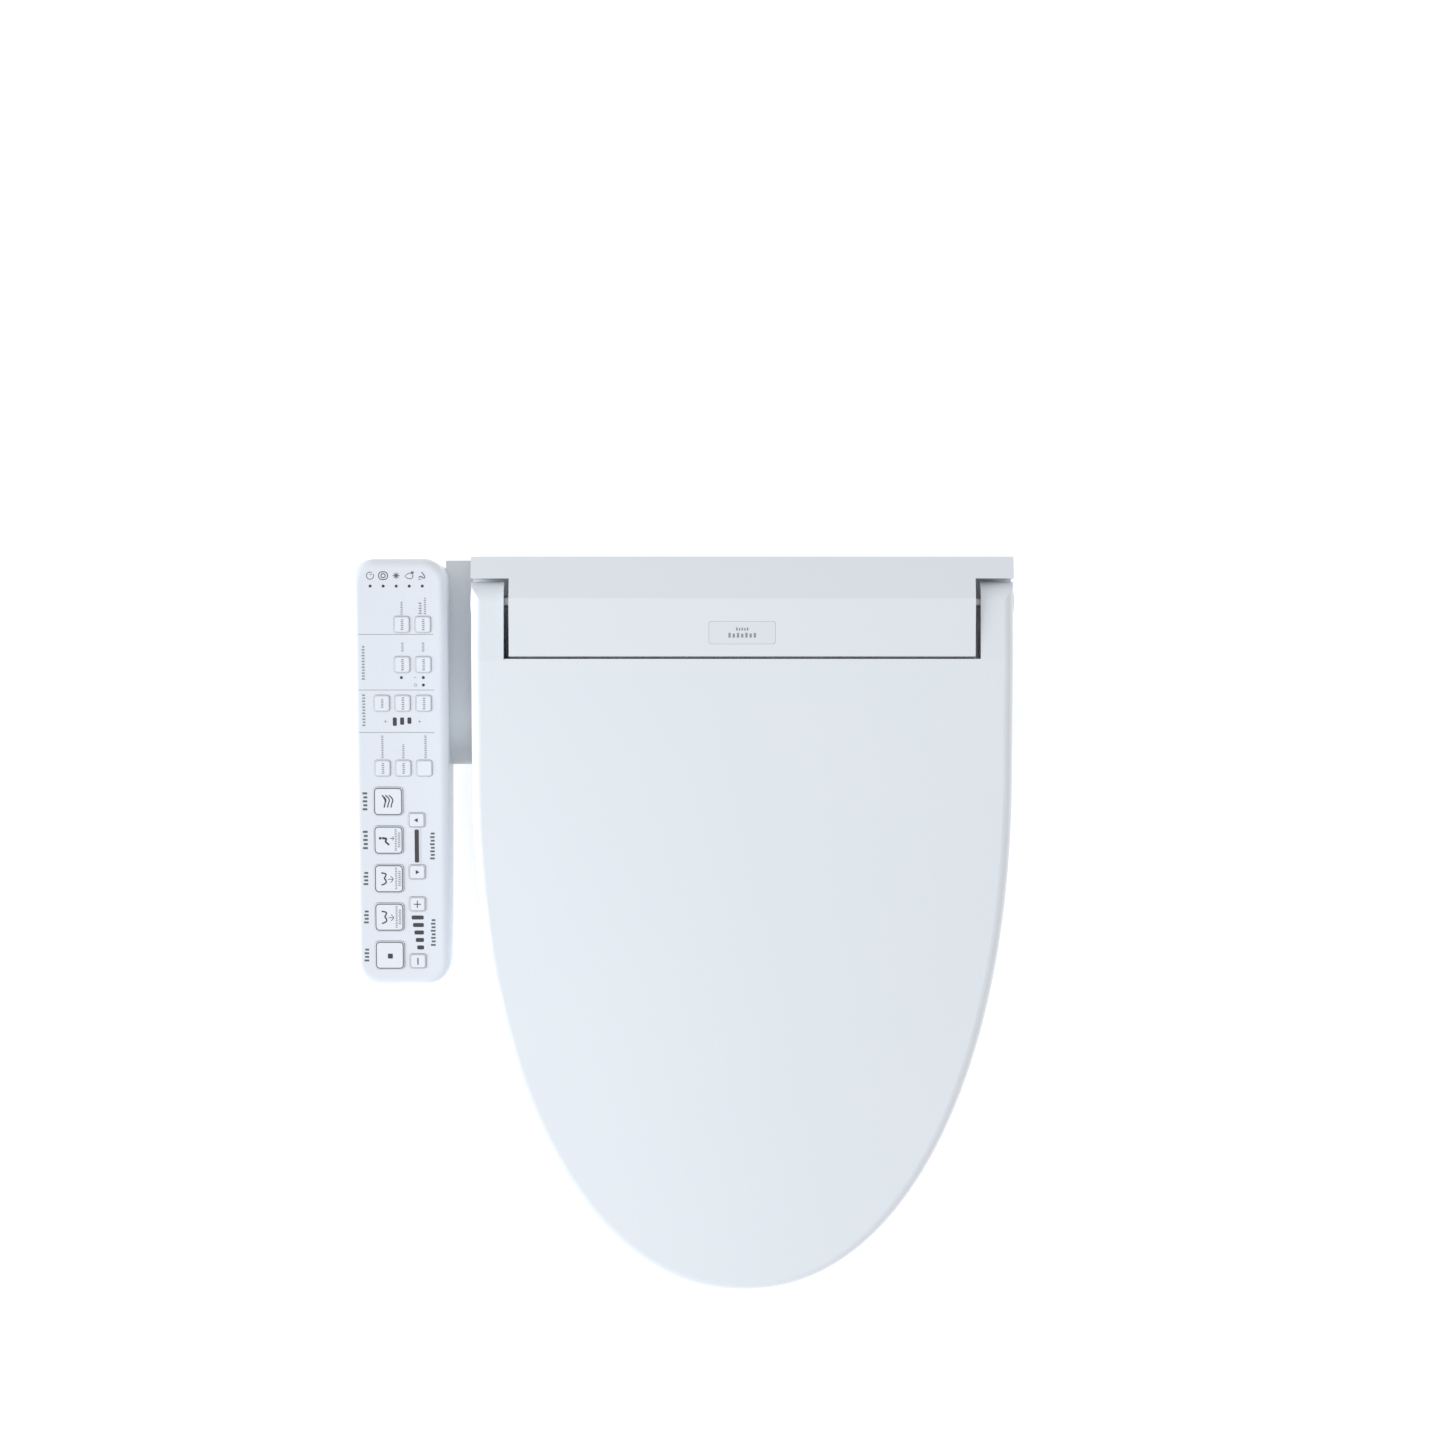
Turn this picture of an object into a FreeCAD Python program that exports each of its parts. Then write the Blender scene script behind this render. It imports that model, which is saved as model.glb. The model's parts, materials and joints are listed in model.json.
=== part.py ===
"""Electric bidet seat: housing, seat, lid and side control arm, each real piece as its own solid.

Millimetres, +Z up, front of the seat towards -Y, control arm on -X. The origin is midway between the
two fixing slots, on the plane of the toilet rim.
"""

import FreeCAD, Part

import math
import os

from FreeCAD import Vector as V

# ---- driving dimensions -------------------------------------------------------------------------

WALL = 2.8                   # moulded case wall
FIT_GAP = 0.3                # gap round a moving piece
CLIP_GAP = 0.2               # gap round a piece that is clipped in and stays
RUNNING_GAP = 0.05           # radial gap of a bore on its pin
MEET = 1.0                   # how far two forms run into each other where they are one moulding

BODY_HALF = 193.5            # half width of housing and lid
CHEEK_WIDTH = 23.5           # width of each lid cheek beside the centre cover
CHEEK_GAP = 3.8              # gap between centre cover and lid cheeks
CENTRE_HALF = BODY_HALF - CHEEK_WIDTH - CHEEK_GAP
REAR_Y = 57.0                # rear face of the housing
STRIP_DEPTH = 15.6           # depth of the full-width rear strip
STRIP_Y = REAR_Y - STRIP_DEPTH
RIDGE_Y = 27.0
RIDGE_Z = 140.0              # highest line of the cover
REAR_DROP = 10.0             # from the ridge down to the rear edge
REAR_TOP_Z = RIDGE_Z - REAR_DROP
COVER_EDGE_Y = -14.0
COVER_DROP = 5.0             # from the ridge down to the cover's front edge
COVER_EDGE_Z = RIDGE_Z - COVER_DROP
BROW_BACK = 2.0              # the step under the cover's front edge, where the lid's rear edge lies
BROW_DROP = 13.0
SHOULDER_FRONT_Y = -66.0
SHOULDER_DROP = 37.0         # from the cover's edge down to the shoulder under the lid
SHOULDER_CHAMFER = (8.0, 10.0)
FLOOR_Z = 8.0                # underside of the housing
SPLIT_Z = 42.0               # parting plane of bottom case and top cover

NOSE_HALF = 58.0             # nose of the housing, which holds the nozzles and the air outlet
NOSE_FRONT_Y = -106.0
NOSE_TOP_Z = 36.0
NOSE_FLOOR_Z = 4.0
NOSE_CHAMFER = 4.0
NOSE_OVERLAP = 30.0

PIN_R = 4.0
SEAT_BOSS_R = 10.0
LID_BOSS_R = 14.5
HINGE_Y = 25.0
LID_STEP = 1.0               # the lid's rear edge below the cover's edge
LID_REAR_Z = COVER_EDGE_Z - LID_STEP
HINGE_Z = LID_REAR_Z - LID_BOSS_R
SHELF_DROP = 15.5            # from the hinge axis down to the shelf under the cheeks
SHELF_FRONT = (-60.0, 32.0)  # front end (Y, Z) of that sloped shelf
SHELF_REAR_Z = HINGE_Z - SHELF_DROP

LID_CENTRE_Y = -100.0        # where the straight sides end and the rounded front starts
LID_REACH = 376.0            # from there to the lid's front tip
LID_TIP_Y = LID_CENTRE_Y - LID_REACH
LID_POWER = 2.15             # exponent of the outline's superellipse
LID_REAR_Y = COVER_EDGE_Y - BROW_BACK
LID_FRONT_Z = 61.0
LID_BULGE = 7.0              # convexity of the lid along its length
LID_CROWN_REAR = 0.8
LID_CROWN_FRONT = 12.0
LID_WALL = 3.0
LID_EDGE_R = 7.0
LID_SEAT_GAP = 1.5
LID_CORNER_DROP = 26.0       # the cheek's lower edge below the hinge axis, under the boss
LID_SIDE_DROP = 66.0         # and the lid's lower edge below its rear top, at its rear end
LID_BUFFER_R = 5.5
LID_BUFFER_T = 2.8
LID_BUFFER_GAP = 0.7
LID_BUFFERS = ((40.0, 36.0), (196.0, 22.0))      # (back from the tip, in from the outline)

SEAT_OVERHANG = 1.2          # how far the seat's edge stands out beyond the lid
SEAT_REAR_Y = SHOULDER_FRONT_Y - 4.0
SEAT_BOTTOM_Z = 10.0
SEAT_TOP_REAR_Z = 62.0
SEAT_TOP_FRONT_Z = 36.0
SEAT_WALL = 3.0
SEAT_EDGE_R = 7.0
SEAT_ARM_GAP = 0.6           # gap between a lid cheek's inner side and the seat arm
SEAT_ARM_T = 10.4
HOLE_FRONT_RIM = 81.0        # from the lid's tip to the front of the seat opening
HOLE_REAR_Y = -105.0
HOLE_FRONT_Y = LID_TIP_Y + HOLE_FRONT_RIM
HOLE_Y = (HOLE_REAR_Y + HOLE_FRONT_Y) / 2
HOLE_HALF_Y = (HOLE_REAR_Y - HOLE_FRONT_Y) / 2
HOLE_SIDE_RIM = 88.5         # from the body's side to the side of the seat opening
HOLE_HALF_X = BODY_HALF - HOLE_SIDE_RIM
HOLE_POWER = 2.2
BRIDGE_GAP = (6.0, 26.0, 4.0)                    # room over the nose: sides, front, top
FOIL_T = 1.0
FOIL_MARGIN = 12.0
SEAT_BUFFER = (16.0, 44.0, 7.5)                  # width, length, corner radius
SEAT_BUFFERS = ((104.0, 44.0), (306.0, 43.5))    # (back from the tip, in from the outline)

PLATE_HALF_X = 105.0
PLATE_FRONT_Y = -36.0
PLATE_REAR_Y = 46.0
PLATE_T = 7.0
PLATE_LIP = 7.0              # width of the flange that the housing's hooks run under
PLATE_LIP_Z = 3.2
SLOT_PITCH = 140.0
SLOT_LENGTH = 26.0
SLOT_R = 4.5
WASHER_MARGIN = 8.0          # recess round a slot for its washer
PLATE_WEB_Z = 2.4            # floor left under the recess in the plate's middle
HOOK_Y = (-30.0, 40.0)
HOOK_T = 2.1
HOOK_WIDTH = 5.0

SCREW_R = 1.6
SCREW_HEAD_R = 3.4
SCREW_HEAD_T = 1.7
SCREW_LENGTH = 22.0
SCREW_BOSS_R = 4.5
SCREW_INSET = (53.5, 10.0)   # rear screws in from the sides and the rear
SCREW_FRONT = (110.0, 10.0)  # front screws: X, and back from the shoulder

BADGE_SIZE = (47.6, 16.3, 1.0)
BADGE_CORNER_R = 2.0
BADGE_Y = 2.6
BADGE_GAP = 0.15

# ---- control arm --------------------------------------------------------------------------------

ARM_OFFSET = 19.5            # gap between the housing's side and the control arm
PANEL_WIDTH = 69.5
PANEL_RIGHT = -BODY_HALF - ARM_OFFSET
PANEL_LEFT = PANEL_RIGHT - PANEL_WIDTH
PANEL_FRONT_Y = -252.4
PANEL_REAR_Z = 100.0
PANEL_FRONT_Z = 57.0
PANEL_BOTTOM_Z = 22.0
PANEL_SKIN = 18.0            # height of the arm's upper shell
PANEL_CORNER_R = 17.0
PANEL_EDGE_R = 6.0
PANEL_WALL = 2.5
BRACKET_FRONT_Y = -92.0
BRACKET_TOP_Z = 61.0
BRACKET_BOTTOM_Z = 24.0
BRACKET_FLAT = 46.0          # from the bracket's front to the end of its flat top
BRACKET_BEND = (12.0, 10.0)  # a point of its curve: back from the front, down from the top
BRACKET_FOOT = 6.0

KEY_GAP = 0.25
KEY_RISE = 0.9
KEY_FLANGE = 1.0             # how far the flange under the skin stands out
KEY_FLANGE_T = 1.2
KEY_TRAVEL = 0.7
SWITCH_R = 2.2
SWITCH_HEIGHT = 2.2
SWITCH_GAP = 1.2             # between a pressed key and its switch
BOARD_T = 1.6
BOARD_DEPTH = PANEL_WALL + CLIP_GAP + KEY_FLANGE_T + KEY_TRAVEL + SWITCH_GAP + SWITCH_HEIGHT
LAMP_R = 1.1
LAMP_PROUD = 0.05
LAMP_BAR_R = 0.9

# Keys: right of the arm's left edge, centre Y on the sloped face, and (width, depth, corner radius).
BIG_KEY = (21.4, 21.0, 3.0)
MID_KEY = (12.0, 11.0, 2.0)
SMALL_KEY = (11.4, 12.0, 2.0)
BIG_COLUMN = 25.5
MID_COLUMN = 46.0
LEFT_COLUMN = 21.7
MIDDLE_COLUMN = 36.7
RIGHT_COLUMN = 52.0
POSITION_KEYS_Y = (-132.2, -170.2)
KEYS = {
    "key_dryer": (BIG_COLUMN, -118.6, BIG_KEY),
    "key_front_wash": (BIG_COLUMN, -146.8, BIG_KEY),
    "key_soft_wash": (BIG_COLUMN, -175.0, BIG_KEY),
    "key_rear_wash": (BIG_COLUMN, -203.2, BIG_KEY),
    "key_stop": (BIG_COLUMN, -231.2, BIG_KEY),
    "key_position_up": (MID_COLUMN, POSITION_KEYS_Y[0], MID_KEY),
    "key_position_down": (MID_COLUMN, POSITION_KEYS_Y[1], MID_KEY),
    "key_pressure_plus": (MID_COLUMN, -193.7, MID_KEY),
    "key_pressure_minus": (MID_COLUMN, -235.6, MID_KEY),
    "key_nozzle_clean": (LEFT_COLUMN, -94.5, SMALL_KEY),
    "key_pulse": (MIDDLE_COLUMN, -94.5, SMALL_KEY),
    "key_oscillate": (RIGHT_COLUMN, -94.5, SMALL_KEY),
    "key_water_heat": (LEFT_COLUMN, -47.4, SMALL_KEY),
    "key_seat_heat": (MIDDLE_COLUMN, -47.4, SMALL_KEY),
    "key_dryer_heat": (RIGHT_COLUMN, -47.4, SMALL_KEY),
    "key_saving": (MIDDLE_COLUMN, -19.4, SMALL_KEY),
    "key_night_light": (RIGHT_COLUMN, -19.4, SMALL_KEY),
    "key_power": (MIDDLE_COLUMN, 9.5, SMALL_KEY),
    "key_child_lock": (RIGHT_COLUMN, 9.5, SMALL_KEY),
}

# Round lamps: (right of the arm's left edge, Y). Bars: the same, then width and depth.
ROUND_LAMPS = [(14.3 + 9.4 * i, 37.1) for i in range(5)] + [(36.1, -28.8), (52.0, -28.8), (52.0, -34.2)]
LEVEL_TOP_Y = -57.6
LEVEL_LENGTHS = (6.2, 5.4, 4.7)
LEVEL_BARS = [(31.0 + 5.3 * i, LEVEL_TOP_Y - length / 2, 2.9, length)
              for i, length in enumerate(LEVEL_LENGTHS)]
POSITION_BAR_LENGTH = POSITION_KEYS_Y[0] - POSITION_KEYS_Y[1] - MID_KEY[1] - 2 * (KEY_FLANGE + FIT_GAP)
POSITION_BAR = [(MID_COLUMN, sum(POSITION_KEYS_Y) / 2, 3.1, POSITION_BAR_LENGTH)]
PRESSURE_RIGHT = 50.5
PRESSURE_LENGTHS = [8.8 - 0.95 * i for i in range(5)]
PRESSURE_BARS = [(PRESSURE_RIGHT - length / 2, -203.6 - 5.5 * i, length, 3.0)
                 for i, length in enumerate(PRESSURE_LENGTHS)]

# ---- water, air and electrics -------------------------------------------------------------------

NOZZLE_R = 6.0
NOZZLE_BORE_R = 2.5
NOZZLE_LENGTH = 150.0
NOZZLE_X = 11.0
NOZZLE_TIP = (NOSE_FRONT_Y + 5.0, NOSE_FLOOR_Z + 10.0)       # (Y, Z) of the retracted tip
NOZZLE_TILT = 16.0           # degrees below horizontal, towards the front
NOZZLE_TIP_R = 3.0
JET_R = 0.7
JET_PITCH = 3.0
JET_BACK = 12.0              # the first spray hole, back from the tip
GUIDE_START = 46.0           # from a nozzle's tip back to the front of the guide
GUIDE_LENGTH = 90.0
GUIDE_MARGIN = 4.0           # guide's sides beyond the outer nozzles
GUIDE_WALL = 3.0             # guide above and below the nozzles
NOZZLE_MOTOR = (9.5, 14.0)   # radius, height

TANK_X = (-145.0, -55.0)
TANK_Y = (-44.0, 28.0)
TANK_BELOW_COVER = 51.0      # the tank's rim below the cover's front edge
TANK_Z = (FLOOR_Z + WALL + 1, COVER_EDGE_Z - TANK_BELOW_COVER)
TANK_WALL = 3.0
TANK_CAP_T = 4.0
TANK_PORT = (4.0, 10.0)      # radius, height
TANK_PORT_INSET = 15.0
ELEMENT_R = 3.0
ELEMENT_PITCH = 24.0
ELEMENT_RISE = 14.0

SPIGOT_X = -BODY_HALF + 18.5
SPIGOT_Y = REAR_Y - 20.0
SPIGOT_R = 10.4
SPIGOT_BORE_R = 5.0
SPIGOT_NECK_R = 8.4
SPIGOT_ROOF_Z = 37.0
SPIGOT_END_Z = 16.0
POCKET_HALF = 15.0
VALVE_HALF = 12.0
VALVE_TOP_Z = 64.0
COIL_R = 9.0
COIL_TOP_Z = 88.0
VALVE_OUTLET_Z = 54.0
HOSE_R = 4.0
FLOW_VALVE = ((-51.0, -33.0), (-30.0, 8.0), (FLOOR_Z + WALL + 1, 34.0))
FLOW_MOTOR = (8.0, 18.0)     # radius, height

DRYER_AXIS = (19.0, 39.0)    # (Y, Z) of the blower shaft
DRYER_X = (32.0, 62.0)
DRYER_FAN_R = 21.0
DRYER_HALF = 27.0            # half height of the blower casing
DRYER_WALL = 2.0
DUCT_HEIGHT = 18.0
DRYER_MOTOR = (15.0, 26.0)   # radius, length
DRYER_SHAFT_R = 2.0
INTAKE_R = 13.0
AIR_OUTLET_Z = (13.4, 27.0)
FLAP_TOP_Z = 29.0
FLAP_HEIGHT = 18.0
FLAP_T = 1.6
FLAP_STANDOFF = 2.2
FIN_T = 1.4
FIN_PITCH = 5.0
VENT_X = -52.0
VENT_WIDTH = 2.5
VENT_PITCH = 5.0
VENT_Z = (12.0, 27.0)

FILTER_LENGTH = 41.0
FILTER_Y = (-44.0, -14.0)
FILTER_Z = (12.6, 27.0)
FILTER_INNER_X = BODY_HALF - FILTER_LENGTH
FILTER_WALL = 2.0
FAN_R = 18.0
FAN_CENTRE = (FILTER_INNER_X - 28.5, -22.0)      # (X, Y) of the deodoriser fan
FAN_CASE_HALF = (26.0, 24.0)
FAN_CASE_HEIGHT = 22.0
FAN_POST_R = 2.0

BUTTON_Y = 10.0
BUTTON_Z = 22.0
BUTTON_R = 7.0
BUTTON_PROUD = 1.2
BUTTON_STEM = (3.0, 35.5)    # radius, reach in from the housing's side
GLAND_Y = REAR_Y - 19.0
GLAND_Z = 22.0
GLAND_BORE_R = 4.0
GLAND_WALL = 3.0
GLAND_DEPTH = 9.0

BOARD_SPAN = (37.5, 97.5)    # main board and power module, in from the housing's side
BOARD_Y = (5.0, 38.0)
MAIN_BOARD_Z = 58.0
POWER_TOP_Z = 40.0


# ---- helpers ------------------------------------------------------------------------------------


def box(x, y, z):
    """Block between three (low, high) pairs."""
    return Part.makeBox(x[1] - x[0], y[1] - y[0], z[1] - z[0], V(x[0], y[0], z[0]))


def rod(radius, start, end):
    """Cylinder between two points."""
    a = V(*start)
    b = V(*end)
    return Part.makeCylinder(radius, (b - a).Length, a, b - a)


def upright(radius, x, y, z0, z1):
    """Upright cylinder."""
    return rod(radius, (x, y, z0), (x, y, z1))


def crosswise(radius, y, z, x0, x1):
    """Cylinder along X."""
    return rod(radius, (x0, y, z), (x1, y, z))


def profile(points, x0, x1):
    """Side profile of (Y, Z) points, extruded from x0 to x1."""
    wire = Part.makePolygon([V(x0, y, z) for y, z in points + points[:1]])
    return Part.Face(wire).extrude(V(x1 - x0, 0, 0))


def inset(points, distance):
    """The same (Y, Z) polygon moved inwards by distance on every side."""
    area = sum(a[0] * b[1] - b[0] * a[1] for a, b in zip(points, points[1:] + points[:1]))
    turn = 1.0 if area > 0 else -1.0
    lines = []
    for a, b in zip(points, points[1:] + points[:1]):
        length = math.hypot(b[0] - a[0], b[1] - a[1])
        normal = (-turn * (b[1] - a[1]) / length, turn * (b[0] - a[0]) / length)
        base = (a[0] + normal[0] * distance, a[1] + normal[1] * distance)
        lines.append((base, (b[0] - a[0], b[1] - a[1])))
    moved = []
    for (p, d), (q, e) in zip(lines[-1:] + lines[:-1], lines):
        share = ((q[0] - p[0]) * e[1] - (q[1] - p[1]) * e[0]) / (d[0] * e[1] - d[1] * e[0])
        moved.append((p[0] + d[0] * share, p[1] + d[1] * share))
    return moved


def rounded_block(cx, cy, width, depth, radius, z0, z1):
    """Upright block with rounded vertical corners."""
    block = box((cx - width / 2, cx + width / 2), (cy - depth / 2, cy + depth / 2), (z0, z1))
    corners = [e for e in block.Edges if abs(e.tangentAt(e.FirstParameter).z) > 0.9]
    return block.makeFillet(radius, corners)


def fuse(shapes):
    """One solid from several that meet."""
    return shapes[0].multiFuse(shapes[1:]).removeSplitter() if len(shapes) > 1 else shapes[0]


def cut(shape, tools):
    """A shape less every tool."""
    return shape.cut(Part.makeCompound(tools))


def both_sides(shape):
    """A shape and its mirror image across the centre plane."""
    return [shape, shape.mirror(V(0, 0, 0), V(1, 0, 0))]


def middle(face):
    """Parameters at the middle of a face."""
    u0, u1, v0, v1 = face.ParameterRange
    return (u0 + u1) / 2, (v0 + v1) / 2


def round_top(shape, radius, skip_y=None):
    """Round the edges of the largest upward face, apart from those that lie at Y = skip_y."""
    upward = [f for f in shape.Faces if f.normalAt(*middle(f)).z > 0.7]
    top = max(upward, key=lambda f: f.Area)
    edges = top.Edges
    if skip_y is not None:
        edges = [e for e in edges if any(abs(v.Y - skip_y) > 0.01 for v in e.Vertexes)]
    return shape.makeFillet(radius, edges)


def superellipse(half_x, half_y, power, angle):
    """Point on a superellipse round the origin; the angle is in radians."""
    c = math.cos(angle)
    s = math.sin(angle)
    x = half_x * math.copysign(abs(c) ** (2 / power), c)
    y = half_y * math.copysign(abs(s) ** (2 / power), s)
    return x, y


def half_width(y):
    """Half the body's width at a given Y, on the rounded front as well."""
    share = max(LID_CENTRE_Y - y, 0) / LID_REACH
    return BODY_HALF * (1 - share ** LID_POWER) ** (1 / LID_POWER)


def seat_outline(offset, rear_y, z0, z1, steps=24):
    """Upright block with the seat's plan shape, grown by offset: straight sides and rounded front."""
    half = BODY_HALF + offset
    points = []
    for i in range(steps + 1):
        x, y = superellipse(half, LID_REACH + offset, LID_POWER, math.pi * i / steps)
        points.append(V(x, LID_CENTRE_Y - abs(y), 0))
    points[0].y = LID_CENTRE_Y
    points[-1].y = LID_CENTRE_Y
    front = Part.BSplineCurve()
    front.interpolate(Points=points, InitialTangent=V(0, -1, 0), FinalTangent=V(0, 1, 0))
    corners = [points[-1], V(-half, rear_y, 0), V(half, rear_y, 0), points[0]]
    sides = [Part.makeLine(a, b) for a, b in zip(corners, corners[1:])]
    face = Part.Face(Part.Wire([front.toShape()] + sides))
    face.translate(V(0, 0, z0))
    return face.extrude(V(0, 0, z1 - z0))


def hole_block(offset, z0, z1, steps=32):
    """Upright block with the shape of the seat's central opening, grown by offset."""
    points = []
    for i in range(steps):
        x, y = superellipse(HOLE_HALF_X + offset, HOLE_HALF_Y + offset, HOLE_POWER, 2 * math.pi * i / steps)
        points.append(V(x, HOLE_Y + y, 0))
    curve = Part.BSplineCurve()
    curve.interpolate(Points=points, PeriodicFlag=True)
    face = Part.Face(Part.Wire([curve.toShape()]))
    face.translate(V(0, 0, z0))
    return face.extrude(V(0, 0, z1 - z0))


# ---- housing ------------------------------------------------------------------------------------

HOUSING_TOP = RIDGE_Z + 10
SHOULDER_Z = COVER_EDGE_Z - SHOULDER_DROP
CENTRE_PROFILE = [
    (REAR_Y, FLOOR_Z), (REAR_Y, REAR_TOP_Z), (RIDGE_Y, RIDGE_Z), (COVER_EDGE_Y, COVER_EDGE_Z),
    (LID_REAR_Y, COVER_EDGE_Z - BROW_DROP),
    (SHOULDER_FRONT_Y + SHOULDER_CHAMFER[0], SHOULDER_Z + SHOULDER_CHAMFER[1]),
    (SHOULDER_FRONT_Y, SHOULDER_Z), (SHOULDER_FRONT_Y, FLOOR_Z),
]
STRIP_TOP_Z = REAR_TOP_Z + REAR_DROP * STRIP_DEPTH / (REAR_Y - RIDGE_Y)
WIDE_PROFILE = [
    (REAR_Y, FLOOR_Z), (REAR_Y, REAR_TOP_Z), (STRIP_Y, STRIP_TOP_Z), (STRIP_Y, SHELF_REAR_Z),
    SHELF_FRONT, (SHELF_FRONT[0], FLOOR_Z),
]
NOSE_REAR_Y = SHOULDER_FRONT_Y + NOSE_OVERLAP
NOSE_PROFILE = [
    (NOSE_REAR_Y, NOSE_TOP_Z), (NOSE_FRONT_Y + NOSE_CHAMFER, NOSE_TOP_Z),
    (NOSE_FRONT_Y, NOSE_TOP_Z - NOSE_CHAMFER), (NOSE_FRONT_Y, NOSE_FLOOR_Z),
    (SHOULDER_FRONT_Y - 2, NOSE_FLOOR_Z), (SHOULDER_FRONT_Y + 2, FLOOR_Z), (NOSE_REAR_Y, FLOOR_Z),
]
SCREWS = [(side * x, y) for side in (-1, 1)
          for x, y in ((BODY_HALF - SCREW_INSET[0], REAR_Y - SCREW_INSET[1]),
                       (SCREW_FRONT[0], SHOULDER_FRONT_Y + SCREW_FRONT[1]))]


def housing_form(shrink):
    """Form of the whole housing, moved inwards by shrink."""
    profiles = (CENTRE_PROFILE, CENTRE_HALF), (WIDE_PROFILE, BODY_HALF), (NOSE_PROFILE, NOSE_HALF)
    return fuse([profile(inset(points, shrink), shrink - half, half - shrink) for points, half in profiles])


def nozzle_direction():
    """Unit vector along which a nozzle comes out."""
    tilt = math.radians(NOZZLE_TILT)
    return V(0, -math.cos(tilt), -math.sin(tilt))


def nozzle_rod(x, radius, back, forward):
    """Cylinder on a nozzle's axis, from back behind the tip to forward ahead of it."""
    tip = V(x, NOZZLE_TIP[0], NOZZLE_TIP[1])
    way = nozzle_direction()
    return Part.makeCylinder(radius, back + forward, tip - way * back, way)


def plate_hooks():
    """Two hooks, L-shaped in section, that slide under the mounting plate's flanges."""
    foot_z = (PLATE_LIP_Z - FIT_GAP - HOOK_T, PLATE_LIP_Z - FIT_GAP)
    inner_x = PLATE_HALF_X + FIT_GAP
    wall = box((inner_x, inner_x + HOOK_WIDTH), HOOK_Y, (foot_z[0], FLOOR_Z + MEET))
    foot = box((PLATE_HALF_X - PLATE_LIP + 2 * FIT_GAP, inner_x + MEET), HOOK_Y, foot_z)
    return both_sides(wall) + both_sides(foot)


def side_hole(radius, y, z):
    """Round hole through the housing's right side wall."""
    return crosswise(radius, y, z, BODY_HALF - WALL - MEET, BODY_HALF + MEET)


def nose_window(x, z):
    """Hole through the nose's front wall."""
    return box(x, (NOSE_FRONT_Y - MEET, NOSE_FRONT_Y + WALL + MEET), z)


def bottom_case(outer, inner):
    """Lower shell of the housing, with its hooks, inlet pocket, filter rails and openings."""
    case = outer.common(box((-BODY_HALF, BODY_HALF), (NOSE_FRONT_Y, REAR_Y), (0, SPLIT_Z))).cut(inner)
    rail_x = (FILTER_INNER_X, BODY_HALF - WALL - MEET)
    rail_z = (FLOOR_Z + WALL - MEET, FILTER_Z[0] - FIT_GAP)
    rails = [box(rail_x, (y, y + 2), rail_z) for y in (FILTER_Y[0] + 3, FILTER_Y[1] - 5)]
    wall_half = POCKET_HALF + WALL
    pocket = box((SPIGOT_X - wall_half, SPIGOT_X + wall_half), (SPIGOT_Y - wall_half, REAR_Y - MEET),
                 (FLOOR_Z, SPIGOT_ROOF_Z + WALL))
    case = fuse([case] + plate_hooks() + rails + [pocket])
    cuts = [
        box((SPIGOT_X - POCKET_HALF, SPIGOT_X + POCKET_HALF), (SPIGOT_Y - POCKET_HALF, REAR_Y - WALL),
            (0, SPIGOT_ROOF_Z)),
        upright(SPIGOT_NECK_R, SPIGOT_X, SPIGOT_Y, SPIGOT_ROOF_Z - MEET, SPIGOT_ROOF_Z + WALL + MEET),
        box((BODY_HALF - WALL - MEET, BODY_HALF + MEET), (FILTER_Y[0] - FIT_GAP, FILTER_Y[1] + FIT_GAP),
            (FILTER_Z[0] - FIT_GAP, FILTER_Z[1] + FIT_GAP)),
        side_hole(BUTTON_R + FIT_GAP, BUTTON_Y, BUTTON_Z),
        side_hole(GLAND_BORE_R + GLAND_WALL, GLAND_Y, GLAND_Z),
        nose_window((DRYER_X[0] + 3, NOSE_HALF - WALL - 3), AIR_OUTLET_Z),
    ]
    cuts += [nozzle_rod(x, NOZZLE_R + 2 * FIT_GAP, 8, 30) for x in (-NOZZLE_X, NOZZLE_X)]
    vents = [VENT_X + VENT_PITCH * i for i in range(5)]
    cuts += [nose_window((x, x + VENT_WIDTH), VENT_Z) for x in vents]
    for x, y in SCREWS:
        cuts.append(upright(SCREW_R + FIT_GAP, x, y, FLOOR_Z - MEET, FLOOR_Z + WALL + MEET))
        cuts.append(upright(SCREW_HEAD_R + FIT_GAP, x, y, FLOOR_Z - MEET, FLOOR_Z + SCREW_HEAD_T + 0.1))
    return cut(case, cuts)


def top_cover(outer, inner):
    """Upper shell of the housing, with its screw bosses, hinge bores and nameplate recess."""
    above = box((-BODY_HALF, BODY_HALF), (SHOULDER_FRONT_Y, REAR_Y), (SPLIT_Z, HOUSING_TOP))
    shell = outer.common(above).cut(inner)
    bosses = [upright(SCREW_BOSS_R, x, y, FLOOR_Z + WALL, HOUSING_TOP).common(outer) for x, y in SCREWS]
    cuts = [upright(SCREW_R + 0.1, x, y, FLOOR_Z, FLOOR_Z + SCREW_LENGTH + 2) for x, y in SCREWS]
    cuts += both_sides(crosswise(PIN_R, HINGE_Y, HINGE_Z, CENTRE_HALF - WALL - MEET, CENTRE_HALF + MEET))
    cuts.append(nameplate_form(0.0, MEET))
    return cut(fuse([shell] + bosses), cuts)


def nameplate_form(gap, top):
    """Thin plate let into the front slope of the cover, smaller than its recess by gap."""
    slope = math.atan2(COVER_DROP, RIDGE_Y - COVER_EDGE_Y)
    z = COVER_EDGE_Z + (BADGE_Y - COVER_EDGE_Y) * math.tan(slope)
    width, depth, thick = BADGE_SIZE
    plate = rounded_block(0, 0, width - 2 * gap, depth - 2 * gap, BADGE_CORNER_R, -thick, top)
    plate.rotate(V(0, 0, 0), V(1, 0, 0), math.degrees(slope))
    plate.translate(V(0, BADGE_Y, z))
    return plate


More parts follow.
